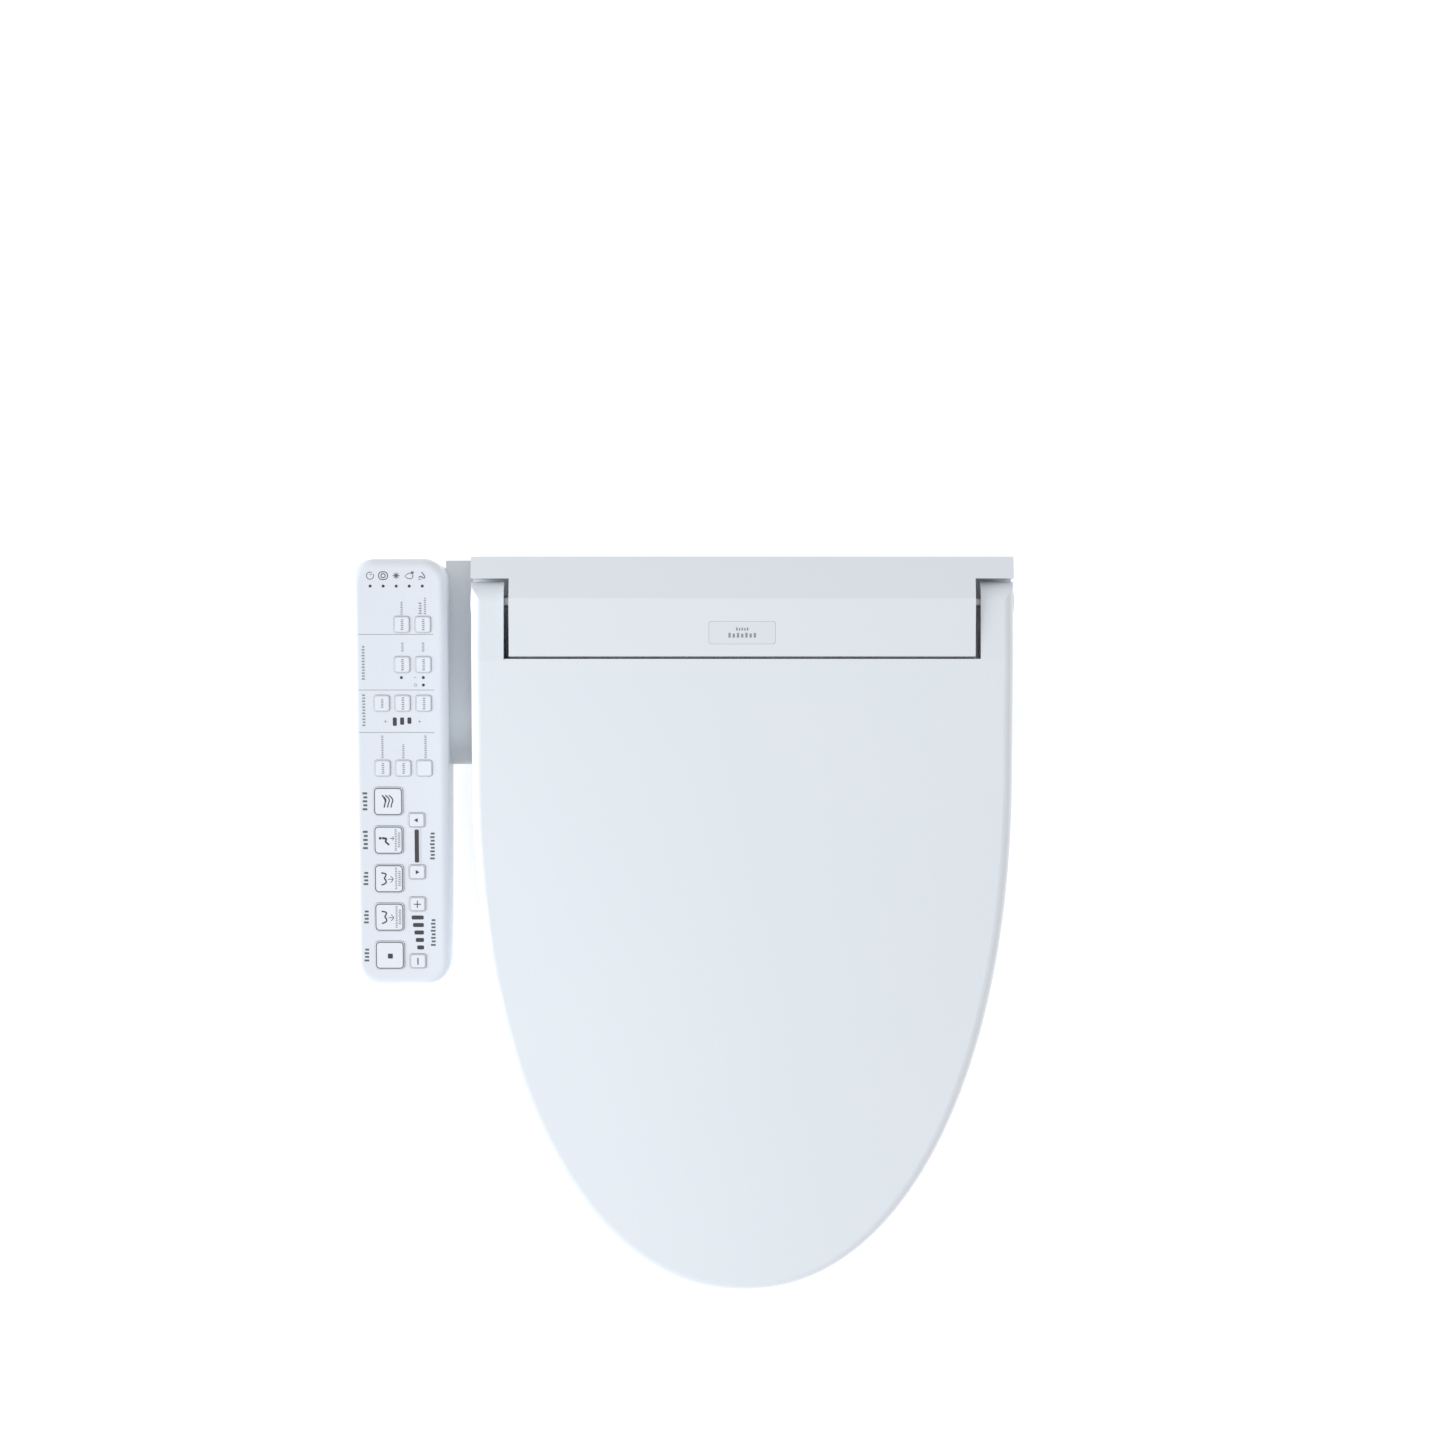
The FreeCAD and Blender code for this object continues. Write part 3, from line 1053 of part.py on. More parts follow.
def filter_cartridge():
    """Slide-out filter: a tray with cross bars, a flush front and a grip hollow."""
    front_x = BODY_HALF - 8
    tray = box((FILTER_INNER_X, BODY_HALF), FILTER_Y, FILTER_Z)
    room = box((FILTER_INNER_X + FILTER_WALL, front_x),
               (FILTER_Y[0] + FILTER_WALL, FILTER_Y[1] - FILTER_WALL),
               (FILTER_Z[0] + FILTER_WALL, FILTER_Z[1] + MEET))
    bars = [box((FILTER_INNER_X + MEET, front_x + MEET), (y, y + 1.2), (FILTER_Z[0] + MEET, FILTER_Z[1] - 2))
            for y in (FILTER_Y[0] + 5 + FIN_PITCH * i for i in range(5))]
    grip = box((BODY_HALF - 4, BODY_HALF + MEET), (FILTER_Y[0] + 8, FILTER_Y[1] - 8),
               (FILTER_Z[0] + 3, FILTER_Z[0] + 8))
    return fuse([tray.cut(room)] + bars).cut(grip)


# ---- release and electrics ----------------------------------------------------------------------


def release_button():
    """Side button that frees the housing from its plate: cap, flange and latch rod."""
    inner = BODY_HALF - WALL
    cap = crosswise(BUTTON_R, BUTTON_Y, BUTTON_Z, inner - MEET, BODY_HALF + BUTTON_PROUD)
    flange = crosswise(BUTTON_R + 2, BUTTON_Y, BUTTON_Z, inner - 2.4, inner - 0.4)
    radius, reach = BUTTON_STEM
    return fuse([cap, flange, crosswise(radius, BUTTON_Y, BUTTON_Z, BODY_HALF - reach, inner - 2)])


def main_board():
    """Main circuit board with its relay, transformer, connector and capacitor."""
    right = BODY_HALF - BOARD_SPAN[0]
    left = BODY_HALF - BOARD_SPAN[1]
    low = MAIN_BOARD_Z + 1
    return fuse([
        box((left, right), BOARD_Y, (MAIN_BOARD_Z, MAIN_BOARD_Z + BOARD_T)),
        box((left + 4, left + 22), (BOARD_Y[0] + 4, BOARD_Y[0] + 19), (low, low + 17)),
        box((right - 32, right - 6), (BOARD_Y[0] + 5, BOARD_Y[0] + 15), (low, low + 11)),
        box((right - 34, right - 22), (BOARD_Y[1] - 13, BOARD_Y[1] - 3), (low, low + 7)),
        upright(5, right - 13, BOARD_Y[1] - 9, low, low + 21),
    ])


def power_module():
    """Power supply under the main board: a potted block with cooling fins."""
    left = BODY_HALF - BOARD_SPAN[1]
    right = BODY_HALF - BOARD_SPAN[0] - 2
    block = box((left, right), BOARD_Y, (FLOOR_Z + WALL + 0.4, POWER_TOP_Z))
    fins = [box((left + 4 + 6 * i, left + 7 + 6 * i), (BOARD_Y[0] + MEET, BOARD_Y[1] - MEET),
                (POWER_TOP_Z - MEET, POWER_TOP_Z + 10)) for i in range(9)]
    return fuse([block] + fins)


def cord_gland():
    """Bushing in the right side wall through which a supply cord would enter."""
    inner = BODY_HALF - WALL
    outer = crosswise(GLAND_BORE_R + GLAND_WALL, GLAND_Y, GLAND_Z, inner, BODY_HALF)
    flange = crosswise(GLAND_BORE_R + 2 * GLAND_WALL, GLAND_Y, GLAND_Z, inner - GLAND_DEPTH, inner)
    bore = crosswise(GLAND_BORE_R, GLAND_Y, GLAND_Z, inner - GLAND_DEPTH - MEET, BODY_HALF + MEET)
    return fuse([outer, flange]).cut(bore)


# ---- assembly -----------------------------------------------------------------------------------


def build():
    """Every sub-part by name."""
    outer = housing_form(0.0)
    inner = housing_form(WALL)
    parts = {
        "mounting_plate": mounting_plate(),
        "bottom_case": bottom_case(outer, inner),
        "top_cover": top_cover(outer, inner),
        "nameplate": nameplate_form(BADGE_GAP, 0.0),
        "case_screws": case_screws(),
        "hinge_pins": hinge_pins(),
        "seat_damper": damper(-1),
        "lid_damper": damper(1),
        "seat_top": seat_top(),
        "seat_base": seat_base(),
        "seat_heater": seat_heater(),
        "seat_buffers": seat_buffers(),
        "lid": lid(),
        "lid_buffers": lid_buffers(),
        "arm_case": arm_case(),
        "arm_cover": arm_cover(),
        "panel_board": panel_board(),
        "indicator_lenses": Part.makeCompound(lamp_shapes(-PANEL_WALL - 1, LAMP_PROUD)),
        "water_tank": water_tank(),
        "tank_cap": tank_cap(),
        "tank_heater": tank_heater(),
        "inlet_valve": inlet_valve(),
        "water_inlet": water_inlet(),
        "flow_valve": flow_valve(),
        "nozzle_guide": nozzle_guide(),
        "nozzle_motors": nozzle_motors(),
        "nozzle_rear": nozzle(-NOZZLE_X),
        "nozzle_front": nozzle(NOZZLE_X),
        "dryer_housing": dryer_housing(),
        "dryer_heater": dryer_heater(),
        "dryer_impeller": dryer_impeller(),
        "dryer_motor": dryer_motor(),
        "dryer_flap": dryer_flap(),
        "fan_housing": fan_housing(),
        "deodoriser_impeller": deodoriser_impeller(),
        "filter_cartridge": filter_cartridge(),
        "release_button": release_button(),
        "main_board": main_board(),
        "power_module": power_module(),
        "cord_gland": cord_gland(),
    }
    for name, (column, y, size) in KEYS.items():
        parts[name] = key(column, y, size)
    return parts


os.makedirs("parts", exist_ok=True)
for node, shape in build().items():
    print(f"{node}: {len(shape.Solids)} solid(s), valid {shape.isValid()}, volume {shape.Volume:.0f}")
    shape.exportStep(f"parts/{node}.step")
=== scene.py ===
"""Looks of an electric bidet seat: finishes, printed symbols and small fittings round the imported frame."""

import json
import logging
import math
from dataclasses import dataclass
from enum import Enum
from typing import Sequence

import bmesh
import bpy
from mathutils import Euler, Matrix, Vector


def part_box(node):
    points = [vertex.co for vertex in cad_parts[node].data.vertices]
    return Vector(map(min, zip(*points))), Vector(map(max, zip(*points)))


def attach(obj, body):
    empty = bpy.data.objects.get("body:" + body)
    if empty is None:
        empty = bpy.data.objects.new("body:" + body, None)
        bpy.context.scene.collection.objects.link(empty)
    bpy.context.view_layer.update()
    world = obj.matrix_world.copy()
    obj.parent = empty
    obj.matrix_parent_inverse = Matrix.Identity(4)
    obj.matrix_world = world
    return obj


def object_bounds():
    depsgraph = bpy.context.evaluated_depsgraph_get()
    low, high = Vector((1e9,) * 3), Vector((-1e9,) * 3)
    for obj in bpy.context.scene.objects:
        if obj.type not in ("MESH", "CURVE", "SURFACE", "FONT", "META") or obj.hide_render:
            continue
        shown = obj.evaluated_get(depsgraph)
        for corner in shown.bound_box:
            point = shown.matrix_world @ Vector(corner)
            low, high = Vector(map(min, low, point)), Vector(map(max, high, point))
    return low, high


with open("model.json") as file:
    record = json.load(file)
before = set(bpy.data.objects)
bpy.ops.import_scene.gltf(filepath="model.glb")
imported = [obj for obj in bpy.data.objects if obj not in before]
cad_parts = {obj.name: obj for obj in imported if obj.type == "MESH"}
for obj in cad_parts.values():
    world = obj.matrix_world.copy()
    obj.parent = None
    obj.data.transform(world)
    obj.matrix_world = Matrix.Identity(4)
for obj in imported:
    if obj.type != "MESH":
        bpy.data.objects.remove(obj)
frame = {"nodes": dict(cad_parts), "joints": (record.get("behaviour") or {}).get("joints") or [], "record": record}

LOG = logging.getLogger("bidet_seat")
MM = 0.001
STROKE_FLATNESS = 0.35
MERGE_MM = 0.0005
CAD_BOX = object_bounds()
Colour = tuple[float, float, float]
Point = tuple[float, float]


# ---- shader maths -------------------------------------------------------------------------------


class Socket:
    """An output socket of a material's node tree, which can be used in arithmetic."""

    def __init__(self, shader: "Shader", link: bpy.types.NodeSocket) -> None:
        """Wrap one output socket.

        Args:
            shader: The material being built.
            link: The node's output socket.
        """
        self.shader = shader
        self.link = link

    def math(self, operation: str, first: "Socket | float", second: "Socket | float") -> "Socket":
        """Join two numbers with a Math node.

        Args:
            operation: The Math node's operation.
            first: A number or a socket.
            second: A number or a socket.

        Returns:
            The node's output.
        """
        return self.shader.node("ShaderNodeMath", {"operation": operation}, {0: first, 1: second})

    def __add__(self, other: "Socket | float") -> "Socket":
        """Sum."""
        return self.math("ADD", self, other)

    def __radd__(self, other: "Socket | float") -> "Socket":
        """Sum, with the number first."""
        return self.math("ADD", other, self)

    def __sub__(self, other: "Socket | float") -> "Socket":
        """Difference."""
        return self.math("SUBTRACT", self, other)

    def __rsub__(self, other: "Socket | float") -> "Socket":
        """Difference, with the number first."""
        return self.math("SUBTRACT", other, self)

    def __mul__(self, other: "Socket | float") -> "Socket":
        """Product."""
        return self.math("MULTIPLY", self, other)

    def __rmul__(self, other: "Socket | float") -> "Socket":
        """Product, with the number first."""
        return self.math("MULTIPLY", other, self)


class Shader:
    """One node-based material, built up from a Principled surface."""

    def __init__(self, name: str) -> None:
        """Start an empty material.

        Args:
            name: The material's name.
        """
        self.material = bpy.data.materials.new(name)
        self.material.use_nodes = True
        self.tree = self.material.node_tree
        self.tree.nodes.clear()

    def node(self, kind: str, settings: dict | None = None, inputs: dict | None = None,
             output: int | str = 0) -> Socket:
        """Add one node.

        Args:
            kind: The node's type.
            settings: Attributes of the node, such as a Math node's operation.
            inputs: Values or sockets by input name or number.
            output: Which output to return.

        Returns:
            The chosen output socket.
        """
        made = self.tree.nodes.new(kind)
        for key, value in (settings or {}).items():
            setattr(made, key, value)
        for key, value in (inputs or {}).items():
            if isinstance(value, Socket):
                self.tree.links.new(value.link, made.inputs[key])
            else:
                made.inputs[key].default_value = value
        return Socket(self, made.outputs[output])

    def place(self, scale: Sequence[float] = (1.0, 1.0, 1.0)) -> Socket:
        """Object coordinates, stretched by scale."""
        coords = self.node("ShaderNodeTexCoord", output="Object")
        return self.node("ShaderNodeMapping", None, {"Vector": coords, "Scale": scale})

    def noise(self, where: Socket, scale: float, detail: float = 2.0,
              roughness: float = 0.5) -> Socket:
        """Fractal noise from 0 to 1 at a given place."""
        return self.node("ShaderNodeTexNoise", None,
                         {"Vector": where, "Scale": scale, "Detail": detail, "Roughness": roughness})

    def mix(self, share: Socket | float, first: Socket | Colour, second: Socket | Colour) -> Socket:
        """Blend two colours.

        Args:
            share: How much of the second colour, from 0 to 1.
            first: The colour where the share is 0.
            second: The colour where the share is 1.

        Returns:
            The blended colour.
        """
        colours = [c if isinstance(c, Socket) else (*c, 1.0) for c in (first, second)]
        return self.node("ShaderNodeMix", {"data_type": "RGBA"}, {0: share, 6: colours[0], 7: colours[1]},
                         output=2)

    def bump(self, height: Socket, depth: float, strength: float = 1.0) -> Socket:
        """Surface normal of a relief whose full height is depth metres."""
        return self.node("ShaderNodeBump", None,
                         {"Strength": strength, "Distance": depth, "Height": height})

    def surface(self, **inputs: Socket | Colour | float) -> bpy.types.Material:
        """Finish the material with a Principled shader.

        Args:
            **inputs: Principled inputs, with _ for a space in their names.

        Returns:
            The finished material.
        """
        named = {key.replace("_", " "): value for key, value in inputs.items()}
        for key in ("Base Color", "Emission Color"):
            if key in named and not isinstance(named[key], Socket):
                named[key] = (*named[key], 1.0)
        shader = self.node("ShaderNodeBsdfPrincipled", None, named)
        end = self.tree.nodes.new("ShaderNodeOutputMaterial")
        self.tree.links.new(shader.link, end.inputs["Surface"])
        return self.material


# ---- finishes -----------------------------------------------------------------------------------


@dataclass(frozen=True)
class Plastic:
    """Moulded plastic: a faint cloudiness, fine grain and a soft gloss."""

    colour: Colour
    roughness: float = 0.28
    tint: Colour = (0.97, 0.985, 1.0)
    cloud: float = 0.5
    grain: float = 0.00001
    coat: float = 0.25
    grain_scale: float = 1400.0
    cloud_scale: float = 7.0
    smear_scale: float = 38.0
    ripple_scale: float = 55.0

    def build(self, name: str) -> bpy.types.Material:
        """Make the material.

        Args:
            name: The material's name.

        Returns:
            The finished material.
        """
        s = Shader(name)
        where = s.place()
        cloud = s.noise(where, self.cloud_scale, 3.0, 0.45)
        grain = s.noise(where, self.grain_scale, 1.0)
        smear = s.noise(s.place((1.0, 0.35, 1.0)), self.smear_scale, 4.0, 0.6)
        darker = tuple(c * t * 0.985 for c, t in zip(self.colour, self.tint))
        base = s.mix(cloud * self.cloud, self.colour, darker)
        rough = self.roughness + (smear - 0.5) * 0.07 + (grain - 0.5) * 0.04
        ripple = s.noise(where, self.ripple_scale, 2.0) * 0.35
        normal = s.bump(grain + ripple, self.grain, 0.6)
        return s.surface(Base_Color=base, Roughness=rough, IOR=1.49, Coat_Weight=self.coat,
                         Coat_Roughness=0.12, Normal=normal)


@dataclass(frozen=True)
class Metal:
    """Drawn or foil metal, with fine lines along one axis."""

    colour: Colour
    roughness: float = 0.3
    stretch: tuple[float, float, float] = (1.0, 0.06, 1.0)
    lines: float = 900.0
    depth: float = 0.000008

    def build(self, name: str) -> bpy.types.Material:
        """Make the material.

        Args:
            name: The material's name.

        Returns:
            The finished material.
        """
        s = Shader(name)
        lines = s.noise(s.place(self.stretch), self.lines, 2.0)
        cloud = s.noise(s.place(), 25.0, 3.0)
        darker = tuple(c * 0.82 for c in self.colour)
        base = s.mix(lines * 0.5 + cloud * 0.3, self.colour, darker)
        rough = self.roughness + (lines - 0.5) * 0.18 + (cloud - 0.5) * 0.1
        return s.surface(Base_Color=base, Metallic=1.0, Roughness=rough,
                         Normal=s.bump(lines, self.depth))


@dataclass(frozen=True)
class Rubber:
    """Soft rubber: matt, slightly dusty, with a fine pebble."""

    colour: Colour
    roughness: float = 0.72
    pebble_depth: float = 0.00004

    def build(self, name: str) -> bpy.types.Material:
        """Make the material.

        Args:
            name: The material's name.

        Returns:
            The finished material.
        """
        s = Shader(name)
        where = s.place()
        dust = s.noise(where, 90.0, 4.0, 0.6)
        pebble = s.noise(where, 2200.0, 1.0)
        lighter = tuple(min(1.0, c * 1.12 + 0.02) for c in self.colour)
        base = s.mix(dust, self.colour, lighter)
        rough = self.roughness + (dust - 0.5) * 0.15
        return s.surface(Base_Color=base, Roughness=rough, Normal=s.bump(pebble, self.pebble_depth))


@dataclass(frozen=True)
class Board:
    """Circuit board: solder mask over copper tracks."""

    mask: Colour = (0.02, 0.16, 0.07)
    track: Colour = (0.05, 0.27, 0.11)
    track_height: float = 0.00003

    def build(self, name: str) -> bpy.types.Material:
        """Make the material.

        Args:
            name: The material's name.

        Returns:
            The finished material.
        """
        s = Shader(name)
        where = s.place()
        across = s.node("ShaderNodeTexBrick", None,
                        {"Vector": where, "Scale": 90.0, "Mortar Size": 0.06, "Color1": (0, 0, 0, 1),
                         "Color2": (0.1, 0.1, 0.1, 1), "Mortar": (1, 1, 1, 1)}, output="Color")
        cloud = s.noise(where, 60.0, 2.0)
        base = s.mix(across, self.mask, self.track)
        rough = 0.32 + (cloud - 0.5) * 0.1
        return s.surface(Base_Color=base, Roughness=rough, Normal=s.bump(across, self.track_height))


@dataclass(frozen=True)
class Ink:
    """Printed ink: flat colour with slightly uneven cover."""

    colour: Colour
    roughness: float = 0.45

    def build(self, name: str) -> bpy.types.Material:
        """Make the material.

        Args:
            name: The material's name.

        Returns:
            The finished material.
        """
        s = Shader(name)
        cover = s.noise(s.place(), 700.0, 2.0)
        lighter = tuple(min(1.0, c * 1.15 + 0.01) for c in self.colour)
        base = s.mix(cover, self.colour, lighter)
        return s.surface(Base_Color=base, Roughness=self.roughness + (cover - 0.5) * 0.08)


@dataclass(frozen=True)
class Lamp:
    """Smoked lamp window, unlit."""

    colour: Colour

    def build(self, name: str) -> bpy.types.Material:
        """Make the material.

        Args:
            name: The material's name.

        Returns:
            The finished material.
        """
        s = Shader(name)
        cloud = s.noise(s.place(), 300.0, 2.0)
        lighter = tuple(min(1.0, c * 1.4) for c in self.colour)
        base = s.mix(cloud, self.colour, lighter)
        return s.surface(Base_Color=base, Roughness=0.16 + (cloud - 0.5) * 0.05, Coat_Weight=0.5,
                         Coat_Roughness=0.05)


Finish = Plastic | Metal | Rubber | Board | Ink | Lamp
FINISHES: dict[str, Finish] = {
    "case_white": Plastic((0.785, 0.805, 0.83), roughness=0.34, grain=0.000014),
    "lid_white": Plastic((0.79, 0.814, 0.84), roughness=0.26, grain=0.000006, coat=0.35),
    "seat_white": Plastic((0.785, 0.805, 0.83), roughness=0.24, grain=0.000006, coat=0.4),
    "panel_white": Plastic((0.755, 0.77, 0.81), roughness=0.42, grain=0.00002, coat=0.1),
    "key_white": Plastic((0.785, 0.80, 0.835), roughness=0.4, grain=0.00002, coat=0.1),
    "nameplate": Plastic((0.765, 0.785, 0.805), roughness=0.3, grain=0.000008, coat=0.3),
    "grey_plastic": Plastic((0.36, 0.37, 0.38), roughness=0.5, grain=0.00004, coat=0.0),
    "dark_plastic": Plastic((0.018, 0.018, 0.02), roughness=0.48, grain=0.00004, coat=0.0),
    "button_grey": Plastic((0.45, 0.46, 0.47), roughness=0.42, grain=0.00003, coat=0.05),
    "steel": Metal((0.62, 0.62, 0.63)),
    "nozzle_steel": Metal((0.72, 0.72, 0.73), roughness=0.2),
    "heater_foil": Metal((0.78, 0.78, 0.79), roughness=0.35, stretch=(1, 1, 1), lines=260.0,
                         depth=0.00004),
    "buffer_rubber": Rubber((0.50, 0.50, 0.49)),
    "circuit_board": Board(),
    "lens": Lamp((0.035, 0.037, 0.042)),
    "tank_plastic": Plastic((0.62, 0.61, 0.55), roughness=0.45, grain=0.00003, coat=0.0),
    "inlet_plastic": Plastic((0.60, 0.60, 0.58), roughness=0.45, grain=0.00003, coat=0.0),
}


class Tone(Enum):
    """The inks of the control arm, from darkest to faintest; the fourth is painted shade along the small keys'
    raised edges, and the fifth is painted shade in a groove.
    """

    DARK = Ink((0.035, 0.037, 0.045))
    GREY = Ink((0.10, 0.103, 0.115))
    MID = Ink((0.26, 0.265, 0.285))
    # painted shade: this grey draws the shade along the small keys' raised edges as a faint outline all round
    FAINT = Ink((0.42, 0.43, 0.455))
    # painted shade: the strip that stands for a groove beside the position lamp
    PALE = Ink((0.60, 0.615, 0.65))


class Paints:
    """The materials, one for each slot, made when first asked for."""

    def __init__(self) -> None:
        """Start with none."""
        self.made: dict[str, bpy.types.Material] = {}

    def get(self, name: str, finish: Finish) -> bpy.types.Material:
        """Find the material of that name, or build it the first time.

        Args:
            name: The material's name.
            finish: What it is built from.

        Returns:
            The material.
        """
        if name not in self.made:
            self.made[name] = finish.build(name)
        return self.made[name]

    def dress(self, piece: bpy.types.Object, name: str, finish: Finish) -> None:
        """Give a piece one material in place of what it has."""
        piece.data.materials.clear()
        piece.data.materials.append(self.get(name, finish))


# ---- mesh helpers -------------------------------------------------------------------------------


class Mould:
    """A bmesh in millimetres that becomes one finished piece."""

    def __init__(self) -> None:
        """Start an empty mesh."""
        self.bm = bmesh.new()

    def bar(self, centre: Point, size: Point, height: float, rounding: float = 0.0) -> None:
        """Add a flat bar, half sunk into the plane.

        Args:
            centre: Its centre on the plane.
            size: Its width and depth.
            height: How thick it is.
            rounding: Radius of its upright corners.
        """
        place = Matrix.Translation((*centre, 0)) @ Matrix.Diagonal((*size, height, 1))
        made = bmesh.ops.create_cube(self.bm, size=1.0, matrix=place)
        if rounding > 0:
            corners = {e for v in made["verts"] for e in v.link_edges
                       if abs(e.verts[0].co.z - e.verts[1].co.z) > height / 2}
            bmesh.ops.bevel(self.bm, geom=list(corners), offset=rounding, segments=4, profile=0.5,
                            affect="EDGES", material=-1)

    def disc(self, centre: Point, radius: float, height: float, sides: int = 24,
             turn: float = 0.0) -> None:
        """Add a flat disc, or a regular polygon when it has few sides, half sunk into the plane.

        Args:
            centre: Its centre on the plane.
            radius: Its radius.
            height: How thick it is.
            sides: How many sides it has.
            turn: Its turn about the plane's normal, in degrees.
        """
        place = Matrix.Translation((*centre, 0)) @ Matrix.Rotation(math.radians(turn), 4, "Z")
        bmesh.ops.create_cone(self.bm, cap_ends=True, segments=sides, radius1=radius,
                              radius2=radius * 0.94, depth=height, matrix=place)

    def stroke(self, points: Sequence[Point], width: float, closed: bool = False,
               smooth: bool = False) -> None:
        """Add a rounded line through points, flattened to a third of its width.

        Args:
            points: The line's points on the plane.
            width: The line's width.
            closed: Whether its ends meet.
            smooth: Whether it runs as one smooth curve.
        """
        curve = bpy.data.curves.new("stroke", "CURVE")
        curve.dimensions = "3D"
        curve.bevel_depth = width / 2
        curve.bevel_resolution = 1
        curve.resolution_u = 4
        curve.use_fill_caps = not closed
        spline = curve.splines.new("NURBS" if smooth else "POLY")
        spline.points.add(len(points) - 1)
        for target, (x, y) in zip(spline.points, points):
            target.co = (x, y, 0.0, 1.0)
        if smooth:
            spline.order_u = 3
            spline.use_endpoint_u = True
        spline.use_cyclic_u = closed
        holder = bpy.data.objects.new("stroke", curve)
        bpy.context.scene.collection.objects.link(holder)
        bpy.context.view_layer.update()
        shown = holder.evaluated_get(bpy.context.evaluated_depsgraph_get())
        drawn = bpy.data.meshes.new_from_object(shown)
        drawn.transform(Matrix.Diagonal((1, 1, STROKE_FLATNESS, 1)))
        self.bm.from_mesh(drawn)
        bpy.data.objects.remove(holder)
        bpy.data.curves.remove(curve)
        bpy.data.meshes.remove(drawn)

    def finish(self, name: str, place: Matrix) -> bpy.types.Object:
        """Turn the mesh into an object at the origin, with its place in its mesh.

        Args:
            name: The piece's name.
            place: From the mould's millimetres to the frame's metres.

        Returns:
            The finished object.
        """
        bmesh.ops.remove_doubles(self.bm, verts=self.bm.verts, dist=MERGE_MM)
        bmesh.ops.recalc_face_normals(self.bm, faces=self.bm.faces)
        bmesh.ops.transform(self.bm, matrix=place, verts=self.bm.verts)
        for face in self.bm.faces:
            face.smooth = False
        mesh = bpy.data.meshes.new(name)
        self.bm.to_mesh(mesh)
        self.bm.free()
        piece = bpy.data.objects.new(name, mesh)
        bpy.context.scene.collection.objects.link(piece)
        return piece


def arc(centre: Point, radius: float, start: float, end: float, steps: int = 8) -> list[Point]:
    """Points on an arc, with angles in degrees."""
    angles = [math.radians(start + (end - start) * i / steps) for i in range(steps + 1)]
    return [(centre[0] + radius * math.cos(a), centre[1] + radius * math.sin(a)) for a in angles]


def rounded_loop(width: float, depth: float, radius: float) -> list[Point]:
    """Points round a rectangle with rounded corners, centred on the origin.

    Args:
        width: The rectangle's width.
        depth: The rectangle's depth.
        radius: Radius of its corners.

    Returns:
        The points in order.
    """
    x = width / 2 - radius
    y = depth / 2 - radius
    corners = (((x, y), 0), ((-x, y), 90), ((-x, -y), 180), ((x, -y), 270))
    return [p for centre, start in corners for p in arc(centre, radius, start, start + 90, 6)]


# ---- control arm --------------------------------------------------------------------------------


class Symbol(Enum):
    """The generic signs printed on the keys."""

    NONE = "none"
    WAVES = "waves"
    SEATED = "seated"
    FOUNTAIN = "fountain"
    STOP = "stop"
    UP = "up"
    DOWN = "down"
    PLUS = "plus"
    MINUS = "minus"
    TICKS = "ticks"


@dataclass(frozen=True)
class KeyStyle:
    """Size, outline and ink of one kind of key."""

    width: float
    depth: float
    radius: float
    inset: float
    line: float
    outline: Tone
    ink: Tone


BIG = KeyStyle(21.4, 21.0, 3.0, 0.45, 0.78, Tone.GREY, Tone.DARK)
MID = KeyStyle(12.0, 11.0, 2.0, 0.4, 0.5, Tone.MID, Tone.DARK)
# the small keys' outline is painted shade along their raised edges
SMALL = KeyStyle(11.4, 12.0, 2.0, 0.35, 0.42, Tone.FAINT, Tone.MID)


@dataclass(frozen=True)
class KeySign:
    """What one key shows, and the length of its fine print where it has any."""

    node: str
    symbol: Symbol
    style: KeyStyle
    print_length: float = 0.0


KEY_SIGNS = (
    KeySign("key_dryer", Symbol.WAVES, BIG), KeySign("key_front_wash", Symbol.SEATED, BIG),
    KeySign("key_soft_wash", Symbol.FOUNTAIN, BIG), KeySign("key_rear_wash", Symbol.FOUNTAIN, BIG),
    KeySign("key_stop", Symbol.STOP, BIG), KeySign("key_position_up", Symbol.UP, MID),
    KeySign("key_position_down", Symbol.DOWN, MID), KeySign("key_pressure_plus", Symbol.PLUS, MID),
    KeySign("key_pressure_minus", Symbol.MINUS, MID), KeySign("key_nozzle_clean", Symbol.TICKS, SMALL, 8.4),
    KeySign("key_pulse", Symbol.TICKS, SMALL, 8.4), KeySign("key_oscillate", Symbol.NONE, SMALL),
    KeySign("key_water_heat", Symbol.TICKS, SMALL, 6.8), KeySign("key_seat_heat", Symbol.TICKS, SMALL, 9.6),
    KeySign("key_dryer_heat", Symbol.TICKS, SMALL, 9.2), KeySign("key_saving", Symbol.TICKS, SMALL, 9.0),
    KeySign("key_night_light", Symbol.TICKS, SMALL, 9.0), KeySign("key_power", Symbol.TICKS, SMALL, 8.4),
    KeySign("key_child_lock", Symbol.TICKS, SMALL, 8.8),
)


@dataclass(frozen=True)
class Line:
    """One line of a sign: its points, and its width in units of the sign's own line."""

    points: tuple[Point, ...]
    weight: float = 1.0
    smooth: bool = False
    closed: bool = False


